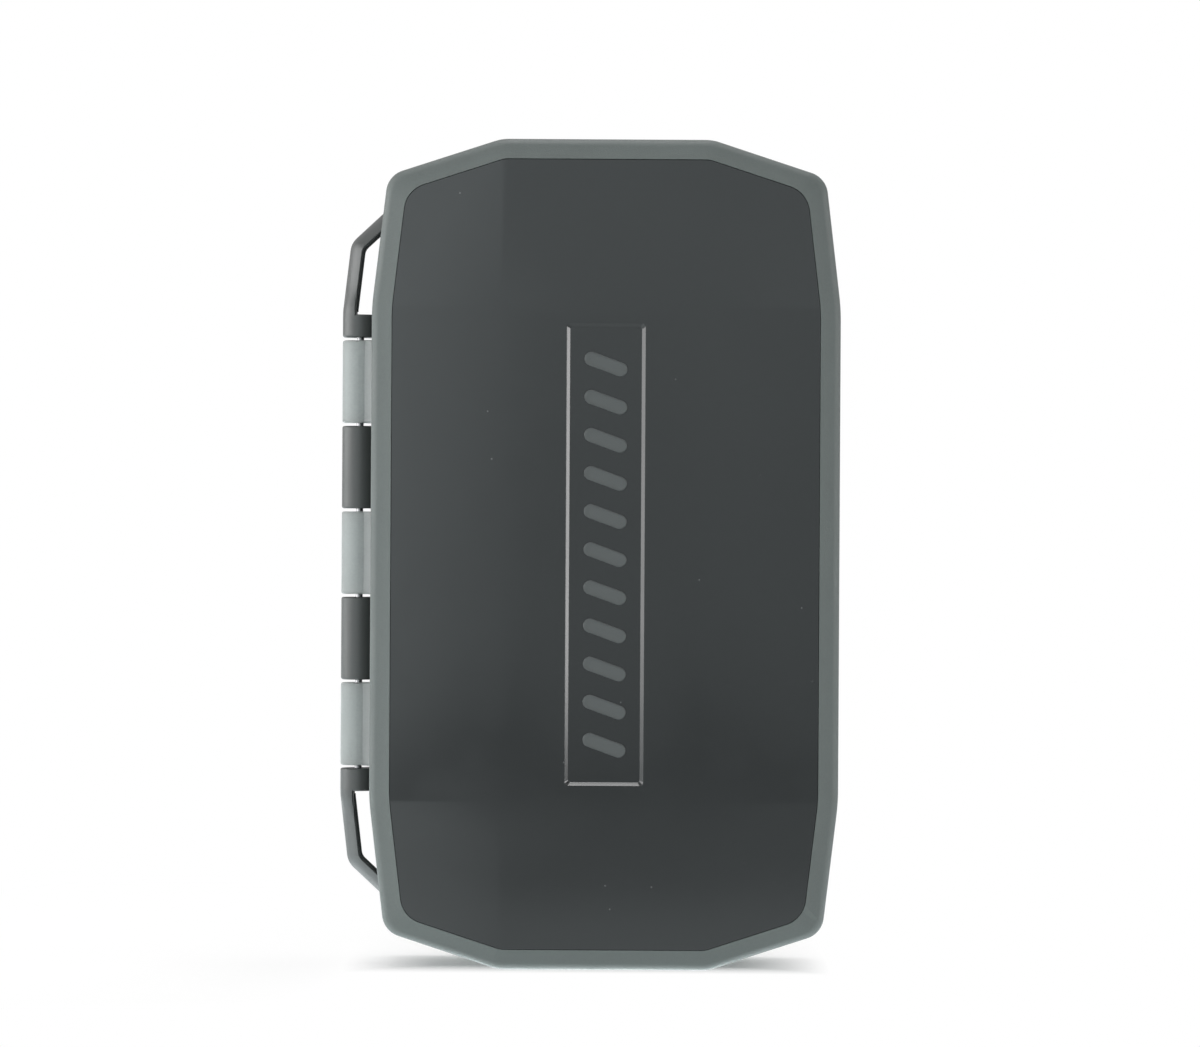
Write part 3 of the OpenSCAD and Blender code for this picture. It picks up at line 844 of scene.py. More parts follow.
def frame_cutters(case, side):
    """Pockets for the hinge barrel and slots for the webs of the knuckles."""
    hinge, gap = case.hinge, case.tray.gap
    reach = case.hinge_half + hinge.knuckle_gap
    web_depth = hinge.barrel_radius + gap
    web_inset = case.tray_inset + case.form.wall / 2
    tools = [rod(case, hinge.barrel_radius + hinge.barrel_gap, -reach, reach)]
    tools += [hinge_block(case, web_inset, web_depth, widened(span, gap), side) for span in case.spans(side)]
    if side == LID:
        # The lid turns round the loops, so its frame keeps clear of the circle that they reach.
        relief = Vector((hinge.barrel_radius, hinge.loop_back)).length + hinge.barrel_gap
        inner = case.hinge_half - hinge.end_knuckle - hinge.knuckle_gap
        outer = case.hinge_half + hinge.loop_reach
        tools += [rod(case, relief, inner, outer), rod(case, relief, -outer, -inner)]
    else:
        # Slots for the far ends of the loops.
        top = loop_top(case)
        span = widened((case.hinge_half + top - hinge.loop_bar, case.hinge_half + top), gap)
        inset, deep = case.form.corner_inset + web_inset, hinge.loop_back + gap
        for ends in (span, (-span[1], -span[0])):
            tools.append(hinge_block(case, inset, deep, ends, side))
        tools.append(thumb_scoop(case))
    return tools


def thumb_scoop(case):
    """Sphere that cuts the scoop into the side away from the hinge."""
    radius = case.form.scoop_radius
    bm = bmesh.new()
    bmesh.ops.create_uvsphere(bm, u_segments=256, v_segments=128, radius=radius)
    centre = Vector((CENTRE.x + case.width / 2 + radius - case.form.scoop_depth, 0, CENTRE.z))
    bmesh.ops.translate(bm, verts=bm.verts, vec=centre)
    return new_piece("scoop", bm)


def build_frame(case, name, side, material):
    """An open frame: the sloping rim, the side wall and the ledge under the panel."""
    rings = [case.ring(inset, depth, side, folded) for inset, depth, folded in frame_profile(case, side)]
    piece = combine(skinned(name, rings, closed=True), frame_cutters(case, side), "DIFFERENCE")
    return finished(piece, material)


# ---------------------------------------------------------------- panels


def folded_surface(case, bm, inset, side, face, hole=None):
    """Triangulates a folded face inside an inset, creased at the folds, with an optional hole.

    The depth of its flat middle is face.
    """
    outline = case.outline(inset)
    loops = [outline] + ([hole] if hole else [])
    points, edges = [], []
    for loop in loops:
        first = len(points)
        points += loop
        edges += [(first + i, first + (i + 1) % len(loop)) for i in range(len(loop))]
    reach = max(case.width, case.length)
    folds = [((x, -reach), (x, reach)) for x in (-case.fold_x, case.fold_x)]
    folds += [((-reach, z), (reach, z)) for z in (-case.fold_z, case.fold_z)]
    for start, stop in folds:
        edges.append((len(points), len(points) + 1))
        points += [Vector(start), Vector(stop)]
    verts, _, faces, *_ = delaunay_2d_cdt(points, edges, [], 0, WELD)
    made = [bm.verts.new(case.place(p, face - case.face_drop(p), side)) for p in verts]
    for corners in faces:
        middle = sum((verts[i] for i in corners), Vector((0, 0))) / len(corners)
        if inside(middle, outline) and not (hole and inside(middle, hole)):
            bm.faces.new([made[i] for i in corners])
    for vert in [v for v in made if not v.link_faces]:
        bm.verts.remove(vert)


def inside(p, polygon):
    """Whether a point lies in an anticlockwise convex polygon."""
    sides = zip(polygon, polygon[1:] + polygon[:1])
    return all(turned_left(b - a).dot(p - a) >= -WELD * WELD for a, b in sides)


def rounded_rectangle(width, height, radius, steps=4):
    """An outline round the origin, anticlockwise."""
    corners = [Vector((x * width / 2, z * height / 2)) for x, z in ((-1, -1), (1, -1), (1, 1), (-1, 1))]
    return [p for i in range(len(corners)) for p in corner_arc(corners, i, 0, radius, steps)]


def panel_edge(case, side):
    """Rings of a panel's edge, from its seat up to the rounded rim of its face."""
    panel = case.panel
    inset = case.form.rim_width + panel.gap
    face = case.depth[side] - panel.step
    rings = [case.ring(inset, case.seat_depth(side), side)]
    for across, along in quarter_round(panel.edge_round, 0, 90):
        rings.append(case.ring(inset + across, face - along, side, True))
    return rings


def sunk_field(case, side):
    """Loops of the field's mouth, side and floor: (outline, depth), from the face down."""
    panel = case.panel
    face = case.depth[side] - panel.step
    soft = panel.edge_round
    stations = [
        (-soft, 0.0),
        (-soft * 0.3, soft * 0.25),
        (soft * 0.4, soft * 0.9),
        (panel.field_bevel - soft * 0.4, panel.field_depth - soft * 0.7),
        (panel.field_bevel + soft * 0.3, panel.field_depth - soft * 0.15),
        (panel.field_bevel + soft, panel.field_depth),
    ]
    loops = []
    for inset, drop in stations:
        radius = max(panel.field_round - inset / 2, panel.field_round / 3)
        width, length = panel.field_width - 2 * inset, panel.field_length - 2 * inset
        loops.append((rounded_rectangle(width, length, radius), face - drop))
    return loops


def build_panel(case, name, side, material):
    """A panel with its folds. The lid's has the sunk field."""
    bm = bmesh.new()
    panel = case.panel
    face = case.depth[side] - panel.step
    underside = add_skin(bm, panel_edge(case, side))[0]
    bm.faces.new(underside)
    top_inset = case.form.rim_width + panel.gap + panel.edge_round
    stations = sunk_field(case, side) if side == LID else []
    mouth = stations[0][0] if stations else None
    folded_surface(case, bm, top_inset, side, face, mouth)
    if stations:
        rings = [[case.place(p, depth, side) for p in outline] for outline, depth in stations]
        field_floor = add_skin(bm, rings)[-1]
        bm.faces.new(field_floor)
    return finished(new_piece(name, bm), material, PANEL_SHARP)


def new_tree(name, **inputs):
    """A Geometry Nodes tree with a Geometry input and output, a Copy input for an object, and more inputs."""
    tree = bpy.data.node_groups.new(name, "GeometryNodeTree")
    for key, kind in {"Geometry": "Geometry", "Copy": "Object", **inputs}.items():
        tree.interface.new_socket(key, in_out="INPUT", socket_type="NodeSocket" + kind)
    tree.interface.new_socket("Geometry", in_out="OUTPUT", socket_type="NodeSocketGeometry")
    return tree


def row_tree(material):
    """Geometry Nodes: copies of one object in a straight row, as plain mesh with a material."""
    tree = new_tree("row", Count="Int", Start="Vector", Step="Vector")
    made = Nodes(tree)
    given = made.add("NodeGroupInput", {})
    places = {"Count": given["Count"], "Start Location": given["Start"], "Offset": given["Step"]}
    line = made.add("GeometryNodeMeshLine", places, mode="OFFSET")
    put_copies(made, given["Copy"], line["Mesh"], material)
    return tree


def put_copies(made, copy, points, material, stretch=(1, 1, 1)):
    """Instances the copy on points, then Realize Instances and Set Material."""
    source = made.add("GeometryNodeObjectInfo", {"Object": copy})["Geometry"]
    places = {"Points": points, "Instance": source, "Scale": stretch}
    copies = made.add("GeometryNodeInstanceOnPoints", places)["Instances"]
    mesh = made.add("GeometryNodeRealizeInstances", {"Geometry": copies})["Geometry"]
    mesh = made.add("GeometryNodeSetMaterial", {"Geometry": mesh, "Material": material})["Geometry"]
    made.add("NodeGroupOutput", {0: mesh})


def grown(name, carrier_mesh, tree, **values):
    """Runs a Geometry Nodes tree on a carrier mesh, with values for its inputs. Returns a plain piece."""
    carrier = placed(name, carrier_mesh)
    grow = carrier.modifiers.new("grow", "NODES")
    grow.node_group = tree
    for socket in tree.interface.items_tree:
        if socket.in_out == "INPUT" and socket.name in values:
            grow[socket.identifier] = values[socket.name]
    return applied(carrier)


def field_bar(case):
    """One raised bar at the middle of the field, rounded along its top and sunk into the field's floor."""
    panel = case.panel
    floor = case.depth[LID] - panel.step - panel.field_depth
    shoulder = panel.bar_height - panel.bar_round
    stations = [(0, -panel.bar_round), (0, shoulder)]
    stations += [(a, panel.bar_height - b) for a, b in quarter_round(panel.bar_round, 0, 90)]
    across, down = cos(panel.bar_slant), -sin(panel.bar_slant)
    rings = []
    for inset, height in stations:
        width, length = panel.bar_width - 2 * inset, panel.bar_length - 2 * inset
        flat = rounded_rectangle(length, width, width / 2 - WELD, steps=10)
        y = -(floor + height)
        rings.append([Vector((p.x * across - p.y * down, y, p.x * down + p.y * across)) for p in flat])
    return skinned("bar", rings)


def build_bars(case, material):
    """The row of raised bars along the field."""
    panel = case.panel
    bar = finished(field_bar(case), material)
    step = (panel.field_length - 2 * panel.bar_margin) / (panel.bar_count - 1)
    bars = grown(
        "lid_panel_bars",
        bpy.data.meshes.new("bars"),
        row_tree(material),
        Copy=bar,
        Count=panel.bar_count,
        Start=(CENTRE.x, 0, CENTRE.z - step * (panel.bar_count - 1) / 2),
        Step=(0, 0, step),
    )
    bpy.data.objects.remove(bar)
    return bars


# ---------------------------------------------------------------- trays


def tray_profile(case, side):
    """Stations (inset, depth) of a tray, from the middle of its underside round to its inner floor."""
    tray = case.tray
    floor = case.floor_depth(side)
    soft = tray.edge_round
    under = [
        (case.tray_inset + a, floor + tray.floor - b) for a, b in quarter_round(tray.wall / 2, 90, 0)
    ]
    land = [(case.tray_inset + a, case.edge + b) for a, b in quarter_round(soft, 0, 90, steps=3)]
    groove = []
    if side == BASE:
        far = case.seal_inset + tray.seal_width
        chamfer = soft / 2
        groove = [
            (case.seal_inset - chamfer, case.edge),
            (case.seal_inset, case.edge + chamfer),
            (case.seal_inset, case.edge + tray.seal_depth),
            (far, case.edge + tray.seal_depth),
            (far, case.edge + chamfer),
            (far + chamfer, case.edge),
        ]
    lip = [(case.mouth_inset - a, case.edge + b) for a, b in quarter_round(soft, 90, 0, steps=3)]
    flange = case.edge + tray.flange_thick
    under_lip = [(case.mouth_inset - a, flange - b) for a, b in quarter_round(soft, 0, 90, steps=3)]
    wall = [(case.room_inset, flange)]
    inner = [(case.room_inset + a, floor - b) for a, b in quarter_round(tray.floor_fillet, 0, 90, steps=5)]
    return under + land + groove + lip + under_lip + wall + inner


def magnet_boss(case, at, side):
    """Post from the tray's floor with a soft top edge."""
    radius, soft = case.boss_radius, case.tray.edge_round
    profile = [(radius, case.floor_depth(side) + case.tray.floor / 2)]
    profile += [(radius - a, case.boss_face + b) for a, b in quarter_round(soft, 0, 90, steps=3)]
    return turned_out(case, profile, at, side)


def magnet_pocket(case, at, side):
    """Room for a magnet and its cover, as a tool."""
    tray = case.tray
    shelf = case.boss_face + tray.cover_thick
    well = shelf + tray.magnet_thick + tray.magnet_gap
    cover = case.cover_radius + tray.magnet_gap
    magnet = tray.magnet_radius + tray.magnet_gap
    profile = [(magnet, well), (magnet, shelf), (cover, shelf), (cover, -tray.cover_thick)]
    return turned_out(case, profile, at, side)


def knuckle_section(case, chamfer, side):
    """Outline of a knuckle with its web, in the plane across the hinge axis."""
    hinge = case.hinge
    radius = hinge.barrel_radius - chamfer
    web_back = hinge.barrel_radius - hinge.web + chamfer
    start = asin(web_back / radius)
    sweep = 2 * pi - (pi / 2 - start)
    points = [(radius * cos(start - t), radius * sin(start - t)) for t in spread(0, sweep, steps=60)]
    wall = hinge.axis_offset
    inner = wall + case.tray.gap
    reach = wall + case.tray_inset + case.tray.wall / 2
    crest = radius + hinge.gusset_rise
    points += [(wall - hinge.gusset_run, radius), (wall, crest), (inner, crest), (inner, radius)]
    points += [(reach, radius), (reach, web_back)]
    return [Vector((CENTRE.x + case.axis_x + x, side * y)) for x, y in points]


def knuckle(case, span, side):
    """A knuckle with rounded ends. Its web is flush with the outer side of the barrel."""
    low, high = span
    ends = quarter_round(case.hinge.knuckle_round, 90, 0)
    stations = [(a, low + b) for a, b in ends] + [(a, high - b) for a, b in reversed(ends)]
    rings = [
        [Vector((p.x, p.y, CENTRE.z + z)) for p in knuckle_section(case, chamfer, side)]
        for chamfer, z in stations
    ]
    return skinned("knuckle", rings)


def loop_top(case):
    """Height of a loop's far edge above the hinge's end."""
    hinge = case.hinge
    bend = loop_bend(case)
    return bend.y + (hinge.axis_offset + case.form.wall - bend.x) / tan(hinge.loop_slope)


def loop_bend(case):
    """Corner of a loop's outer bend. The loop follows the case's taper up to it."""
    reach = case.hinge.loop_reach
    return Vector(((reach - case.straight_left) * case.taper - case.hinge.barrel_radius, reach))


# Which of a loop's corners is its outer bend.
LOOP_BEND = 4


def loop_corners(case):
    """Corners of a loop, as (x, z) from the hinge axis and the hinge's end."""
    hinge = case.hinge
    inner = hinge.axis_offset + case.form.corner_inset + case.room_inset + hinge.loop_bar
    top = loop_top(case)
    return [
        Vector((-hinge.barrel_radius, -hinge.loop_bar)),
        Vector((inner, -hinge.loop_bar)),
        Vector((inner, top)),
        Vector((hinge.axis_offset + case.form.wall, top)),
        loop_bend(case),
        Vector((-hinge.barrel_radius, case.straight_left)),
    ]


def loop_section(hinge):
    """Stations (inset, y) round the bar of a loop: a sloping front, a thin seam inside and a rounded back."""
    front, back = -hinge.loop_front, hinge.loop_back
    side = hinge.loop_bar - hinge.seam_rise
    inner, seam = hinge.inner_edge, hinge.seam_width / 2
    steep, flat = hinge.loop_steep, hinge.loop_flat
    radius = (side - inner) / (sin(steep) - sin(flat))
    slope = [
        (radius * (sin(steep) - sin(t)), front + radius * (cos(flat) - cos(t)))
        for t in spread(steep, flat, steps=10)
    ]
    inner_front = [(side - a, front + b) for a, b in quarter_round(inner, 80, 0)]
    ridge = [(side, -seam * 1.5), (hinge.loop_bar, -seam), (hinge.loop_bar, seam), (side, seam * 1.5)]
    inner_back = [(side - a, back - b) for a, b in quarter_round(inner, 0, 90)]
    outer_back = [(a, back - b) for a, b in quarter_round(hinge.loop_edge, 90, 10, steps=6)]
    return slope + inner_front + ridge + inner_back + outer_back


def lanyard_loop(case, end):
    """Loop at the upper (1) or lower (-1) end of the hinge, cut to clear the lid and the tray's room."""
    hinge = case.hinge
    corners = loop_corners(case)
    rings = []
    for inset, y in loop_section(hinge):
        bend = hinge.loop_round + (hinge.loop_fillet - hinge.loop_round) * inset / hinge.loop_bar
        radii = [bend if i == LOOP_BEND else hinge.foot_fillet for i in range(len(corners))]
        flat = [p for i, radius in enumerate(radii) for p in corner_arc(corners, i, inset, radius, steps=8)]
        rings.append([case.past_hinge(p.x, y, p.y, end) for p in flat])
    loop = skinned("loop", rings, closed=True)
    reach = hinge.loop_front + hinge.loop_back
    lid_room = slab(case, -hinge.loop_gap, case.edge, -reach, BASE)
    tray_room = slab(case, case.room_inset - case.tray.wall / 2, reach, -reach, BASE)
    return combine(loop, [lid_room, tray_room], "DIFFERENCE")


# Steps of a loop's fairing, and how many more of them lap over the knuckle, where it lies this far inside.
FAIRING_STEPS = 10
FAIRING_LAP = 2
FAIRING_SINK = WELD * 100


def loop_fairing(case, end):
    """Smooth passage from the outer half of the last knuckle into the loop's bar."""
    hinge = case.hinge
    left, right = -hinge.barrel_radius, -hinge.barrel_radius + hinge.loop_bar - hinge.seam_rise
    bar = [Vector((min(left + a + WELD, right), y)) for a, y in loop_section(hinge)]
    centre = Vector(((left + right) / 2, 0))
    barrel = [disc_point(centre, p - centre, hinge.barrel_radius - FAIRING_SINK, right) for p in bar]
    rings = []
    for step in range(-FAIRING_LAP, FAIRING_STEPS + 1):
        t = max(0, step / FAIRING_STEPS)
        height = hinge.loop_foot * step / FAIRING_STEPS
        lean = max(0, height - case.straight_left) * case.taper
        blend = t * t * (3 - 2 * t)
        section = [a + (b - a) * blend for a, b in zip(barrel, bar)]
        rings.append([case.past_hinge(p.x + lean, p.y, height, end) for p in section])
    return skinned("fairing", rings)


def disc_point(start, direction, radius, limit):
    """Where a ray from a point meets the edge of a disc round the axis, cut off at x = limit."""
    a = direction.dot(direction)
    b = start.dot(direction)
    c = start.dot(start) - radius * radius
    reach = (-b + (b * b - a * c) ** 0.5) / a
    if direction.x > 0:
        reach = min(reach, (limit - start.x) / direction.x)
    return start + direction * reach


def build_tray(case, name, side, material):
    """A tray with its bosses and knuckles. The base's has the lanyard loops."""
    piece = skinned(name, [case.ring(inset, depth, side) for inset, depth in tray_profile(case, side)])
    parts = [magnet_boss(case, at, side) for at in case.bosses]
    parts += [knuckle(case, span, side) for span in case.spans(side)]
    if side == BASE:
        parts += [make(case, end) for end in (1, -1) for make in (lanyard_loop, loop_fairing)]
    combine(piece, parts, "UNION")
    bore = case.hinge.lid_bore if side == LID else case.hinge.base_bore
    reach = case.hinge_half + case.hinge.knuckle_gap
    cutters = [magnet_pocket(case, at, side) for at in case.bosses] + [rod(case, bore, -reach, reach)]
    combine(piece, cutters, "DIFFERENCE")
    return finished(piece, material)


def build_seal(case, material):
    """Rubber ring with a rounded crown, in the groove of the base's tray."""
    tray = case.tray
    near = case.seal_inset + tray.seal_gap
    far = case.seal_inset + tray.seal_width - tray.seal_gap
    radius = (far - near) / 2
    crown = case.edge - tray.seal_rise
    foot = case.edge + tray.seal_depth
    arc = [(near + radius * (1 - cos(t)), crown + radius * (1 - sin(t))) for t in spread(0, pi, steps=12)]
    rings = [case.ring(inset, depth, BASE) for inset, depth in [(near, foot), *arc, (far, foot)]]
    return finished(skinned("seal_ring", rings, closed=True), material)


# ---------------------------------------------------------------- foam


def ridge_rows(case, side):
    """Rows of the foam's ridges: (z, low x, high x), kept clear of the tray and the magnet bosses."""
    foam = case.foam
    inset = case.room_inset + foam.gap
    rows = int((case.length - 2 * (inset + case.form.corner_drop)) // foam.ridge_pitch)
    outline = case.outline(inset)
    half_foot = foam.ridge_foot / 2
    made = []
    for i in range(rows):
        z = (i - (rows - 1) / 2) * foam.ridge_pitch
        edges = crossings(outline, (z - half_foot, z + half_foot))
        low, high = max(x for x in edges if x < 0), min(x for x in edges if x > 0)
        for boss in case.bosses:
            away = max(0, abs(z - boss.y) - half_foot)
            reach = case.boss_radius + foam.gap
            if away < reach:
                high = min(high, boss.x - (reach**2 - away**2) ** 0.5)
        made.append((z, low, high))
    return made


def crossings(outline, heights):
    """X of each place where an outline crosses one of the heights."""
    made = []
    for p, q in zip(outline, outline[1:] + outline[:1]):
        for z in heights:
            if (p.y - z) * (q.y - z) < 0:
                made.append(p.x + (q.x - p.x) * (z - p.y) / (q.y - p.y))
    return made


def ridge_section(foam, shrink):
    """Outline (z, height) of a ridge above its foot, pulled in by shrink."""
    half_foot = foam.ridge_foot / 2 - shrink
    half_top = foam.ridge_top / 2 - shrink
    top = foam.ridge_height - shrink
    foot = [Vector((-half_foot, 0)), Vector((half_foot, 0))]
    corners = foot + [Vector((half_top, top)), Vector((-half_top, top))]
    return foot + [p for i in (2, 3) for p in corner_arc(corners, i, 0, foam.ridge_round, steps=5)]


def foam_tooth(case):
    """The stretch of a ridge between two slits, with soft ends, centred on the origin along X."""
    foam = case.foam
    half = (foam.slit_pitch - foam.slit_width) / 2
    soft = foam.tooth_round
    stations = [(-half, soft), (-half + soft * 0.3, soft * 0.3), (-half + soft, 0)]
    stations += [(-x, shrink) for x, shrink in reversed(stations)]
    lift = foam.ridge_height - foam.slit_depth
    rings = [
        [Vector((x, max(height, lift), z)) for z, height in ridge_section(foam, shrink)]
        for x, shrink in stations
    ]
    return skinned("tooth", rings)


def tooth_tree(material):
    """Geometry Nodes: a copy of one object on every point, stretched by the point's stretch."""
    tree = new_tree("teeth")
    made = Nodes(tree)
    given = made.add("NodeGroupInput", {})
    stretch = made.add("GeometryNodeInputNamedAttribute", {"Name": "stretch"}, data_type="FLOAT_VECTOR")
    put_copies(made, given["Copy"], given["Geometry"], material, stretch["Attribute"])
    return tree


def tooth_points(case, side):
    """A mesh of loose points, one per tooth.

    The stretch makes whole teeth fill each row, and turns them towards the parting plane.
    """
    foam = case.foam
    foot = case.floor_depth(side) - foam.base
    places, stretches = [], []
    for z, low, high in ridge_rows(case, side):
        number = max(1, round((high - low) / foam.slit_pitch))
        pitch = (high - low) / number
        for k in range(number):
            places.append(case.place(Vector((low + pitch * (k + 0.5), z)), foot, side))
            stretches.append((pitch / foam.slit_pitch, -side, 1.0))
    mesh = bpy.data.meshes.new("teeth")
    mesh.from_pydata(places, [], [])
    attribute = mesh.attributes.new("stretch", "FLOAT_VECTOR", "POINT")
    attribute.data.foreach_set("vector", [c for stretch in stretches for c in stretch])
    return mesh


def ridge_foot(case, side, row):
    """The uncut foot of one ridge."""
    foam = case.foam
    z, low, high = row
    sheet_face = case.floor_depth(side) - foam.base
    slit_foot = foam.ridge_height - foam.slit_depth
    section = []
    for across, height in ridge_section(foam, 0):
        sink = foam.sheet_round if height == 0 else 0
        section.append((z + across, sheet_face - min(height, slit_foot) + sink))
    return skinned("foot", [[case.place(Vector((x, p)), d, side) for p, d in section] for x in (low, high)])


def foam_sheet(case, side):
    """Foam under the ridges, with the ridges' uncut feet, cut round the magnet bosses."""
    foam = case.foam
    floor = case.floor_depth(side)
    inset = case.room_inset + foam.gap
    soft = foam.sheet_round
    stations = [(inset, floor), (inset, floor - foam.base + soft), (inset + soft, floor - foam.base)]
    sheet = skinned("sheet", [case.ring(a, depth, side) for a, depth in stations])
    radius = case.boss_radius + foam.gap
    cuts = [turned_out(case, [(radius, floor + foam.base), (radius, 0)], at, side) for at in case.bosses]
    feet = [ridge_foot(case, side, row) for row in ridge_rows(case, side)]
    return combine(combine(sheet, cuts, "DIFFERENCE"), feet, "UNION")


def build_foam(case, name, side, material):
    """Foam of one side: the sheet with the ridges' feet, and the teeth between the slits."""
    tooth = finished(foam_tooth(case), material, FOAM_SHARP)
    teeth = grown(name + "_teeth", tooth_points(case, side), tooth_tree(material), Copy=tooth)
    bpy.data.objects.remove(tooth)
    sheet = finished(foam_sheet(case, side), material)
    return joined(name, [sheet, teeth])


# ---------------------------------------------------------------- operators


def mount_piece(piece, body, slot, *nodes):
    """Puts a finished piece on its body, in place of CAD nodes."""
    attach(piece, body)
    if nodes:
        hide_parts(*nodes)


class FLYBOX_OT_frames(bpy.types.Operator):
    """Build the textured frames of the lid and the base"""

    bl_idname = "flybox.frames"
    bl_label = "Frames"

    def execute(self, context):
        case, finish = Case(), finishes()["textured_shell"]
        for body, side in SIDES.items():
            mount_piece(build_frame(case, body + "_frame", side, finish), body, "shell", body + "_shell")
        return {"FINISHED"}


class FLYBOX_OT_panels(bpy.types.Operator):
    """Build the folded panels and the bars in the lid's sunk field"""

    bl_idname = "flybox.panels"
    bl_label = "Panels"

    def execute(self, context):
        case, made = Case(), finishes()
        for body, side in SIDES.items():
            face = build_panel(case, body + "_face", side, made["smoky_panel"])
            mount_piece(face, body, "panel", body + "_panel")
            if side == LID:
                mount_piece(build_bars(case, made["frosted_bars"]), body, "panel")
        return {"FINISHED"}


class FLYBOX_OT_trays(bpy.types.Operator):
    """Build the inner trays with their knuckles and lanyard loops"""

    bl_idname = "flybox.trays"
    bl_label = "Trays and hinge"

    def execute(self, context):
        case, made = Case(), finishes()
        for body, side in SIDES.items():
            piece = build_tray(case, body + "_lining", side, made[TRAY_FINISH[body]])
            mount_piece(piece, body, body + "_tray", body + "_tray")
        return {"FINISHED"}


class FLYBOX_OT_seal(bpy.types.Operator):
    """Build the rubber seal"""

    bl_idname = "flybox.seal"
    bl_label = "Seal"

    def execute(self, context):
        mount_piece(build_seal(Case(), finishes()["sealing_rubber"]), "base", "seal", "seal")
        return {"FINISHED"}


class FLYBOX_OT_foam(bpy.types.Operator):
    """Build the slit foam of the lid and the base"""

    bl_idname = "flybox.foam"
    bl_label = "Foam"

    def execute(self, context):
        case, finish = Case(), finishes()["slit_foam"]
        for body, side in SIDES.items():
            piece = build_foam(case, body + "_slit_foam", side, finish)
            mount_piece(piece, body, "foam", body + "_foam")
        return {"FINISHED"}


class FLYBOX_OT_hardware(bpy.types.Operator):
    """Finish the hinge pin, the magnets and their covers"""

    bl_idname = "flybox.hardware"
    bl_label = "Pin and magnets"

    def execute(self, context):
        made = finishes()
        for name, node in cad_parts.items():
            if node.hide_render:
                continue
            if "cover" in name:
                body = name.split("_")[0]
                finish = made[TRAY_FINISH[body]]
            else:
                finish = made["nickel_plate" if "magnet" in name else "drawn_steel"]
            for slot in node.material_slots:
                slot.material = finish
        return {"FINISHED"}


class FLYBOX_OT_stage(bpy.types.Operator):
    """Set up the floor, the light and the camera"""

    bl_idname = "flybox.stage"
    bl_label = "Stage"

    def execute(self, context):
        sizes = context.scene.fly_box_stage
        add_floor(sizes)
        add_room(sizes)
        add_world(sizes)
        for lamp in LAMPS:
            add_lamp(*lamp)
        add_camera(sizes)
        context.scene.view_settings.view_transform = "Standard"
        return {"FINISHED"}


# ---------------------------------------------------------------- stage

# The floor lies a hair below the case's foot, so that the two don't share a plane.
FLOOR_DROP = 0.02 * MM
FLOOR_WHITE = (0.9, 0.9, 0.9)
WHITE = (1.0, 1.0, 1.0)

# Slight green tint of what the case mirrors of the floor and the room.
MIRRORED_TINT = (0.91, 0.985, 1.0)

# From the case's middle plane to the edges of its foot, in metres.
FOOT_EDGE = 0.0145

# The stretch of floor that shows shadow is an oblong with rounded corners, squarer with a higher power.
# Its shadow starts to fade at this share of the way out.
OBLONG_POWER = 4
FADE_START = 0.15

# Bands of light in what the case mirrors: (axis, from, to, level at from, level at to), in metres.
ROOM_BANDS = (
    ("Z", -0.1, 0, 0.35, 1.05),
    ("Z", 0.1, 0.3, 0, 0.3),
    ("Z", 0.5, 0.75, 0, -1.2),
    ("X", -0.26, -0.08, 0.9, 0),
)
WALL_BANDS = (("Y", -1.3, -0.55, 1.3, 6),)

# The lit wall on the left: its X, its ends in Y and its half height in Z, in metres from the case's middle.
WALL_X, WALL_FRONT, WALL_BACK, WALL_HALF = -1.2, -1.3, 0.5, 0.7

# The world's light grows from its front level to its back level between these slants towards the back.
BACK_SLANT = (0.1, 0.6)

# Lamps: name, place from the case's middle, width and height in metres, level, and rays that pass it by.
LAMPS = (
    ("right", (1.15, -0.12, 0.05), 0.2, 0.6, 0.22),
    ("top", (0, 0.1, 1.15), 0.6, 0.3, 0.4),
    ("front", (-0.65, -1.2, 0.05), 0.9, 0.5, 0.5, "glossy"),
    ("right_glint", (1.08, -0.44, 0.05), 0.2, 0.6, 0.24, "diffuse"),
    ("top_glint", (0, -0.45, 1.1), 0.5, 0.15, 0.14, "diffuse"),
)
UNSEEN_RAYS = ("camera", "diffuse", "transmission", "volume_scatter", "shadow")
FAR_CLIP = 20


def flat_sheet(name, corners, material):
    """A rectangle for the stage, which isn't part of the object."""
    mesh = bpy.data.meshes.new(name)
    mesh.from_pydata(corners, [], [(0, 1, 2, 3)])
    mesh.materials.append(material)
    sheet = placed(name, mesh)
    return sheet


def add_floor(sizes):
    half, front = sizes.floor_size / 2, -sizes.floor_front
    corners = [(x, y, -FLOOR_DROP) for x, y in ((-half, front), (half, front), (half, half), (-half, half))]
    flat_sheet("floor", corners, floor_material(sizes))


def shadow_fade(finish, parts, sizes, middle, least):
    """From least inside an oblong stretch of the floor to 1 outside it."""
    square = 0
    for axis, centre, half in (
        ("X", middle, sizes.shadow_width / 2),
        ("Y", sizes.shadow_middle, sizes.shadow_depth),
    ):
        share = finish.maths("DIVIDE", finish.maths("SUBTRACT", parts[axis], centre), half)
        square = finish.maths("ADD", finish.maths("POWER", share, OBLONG_POWER), square)
    return finish.band(square, FADE_START, 1, least, 1)


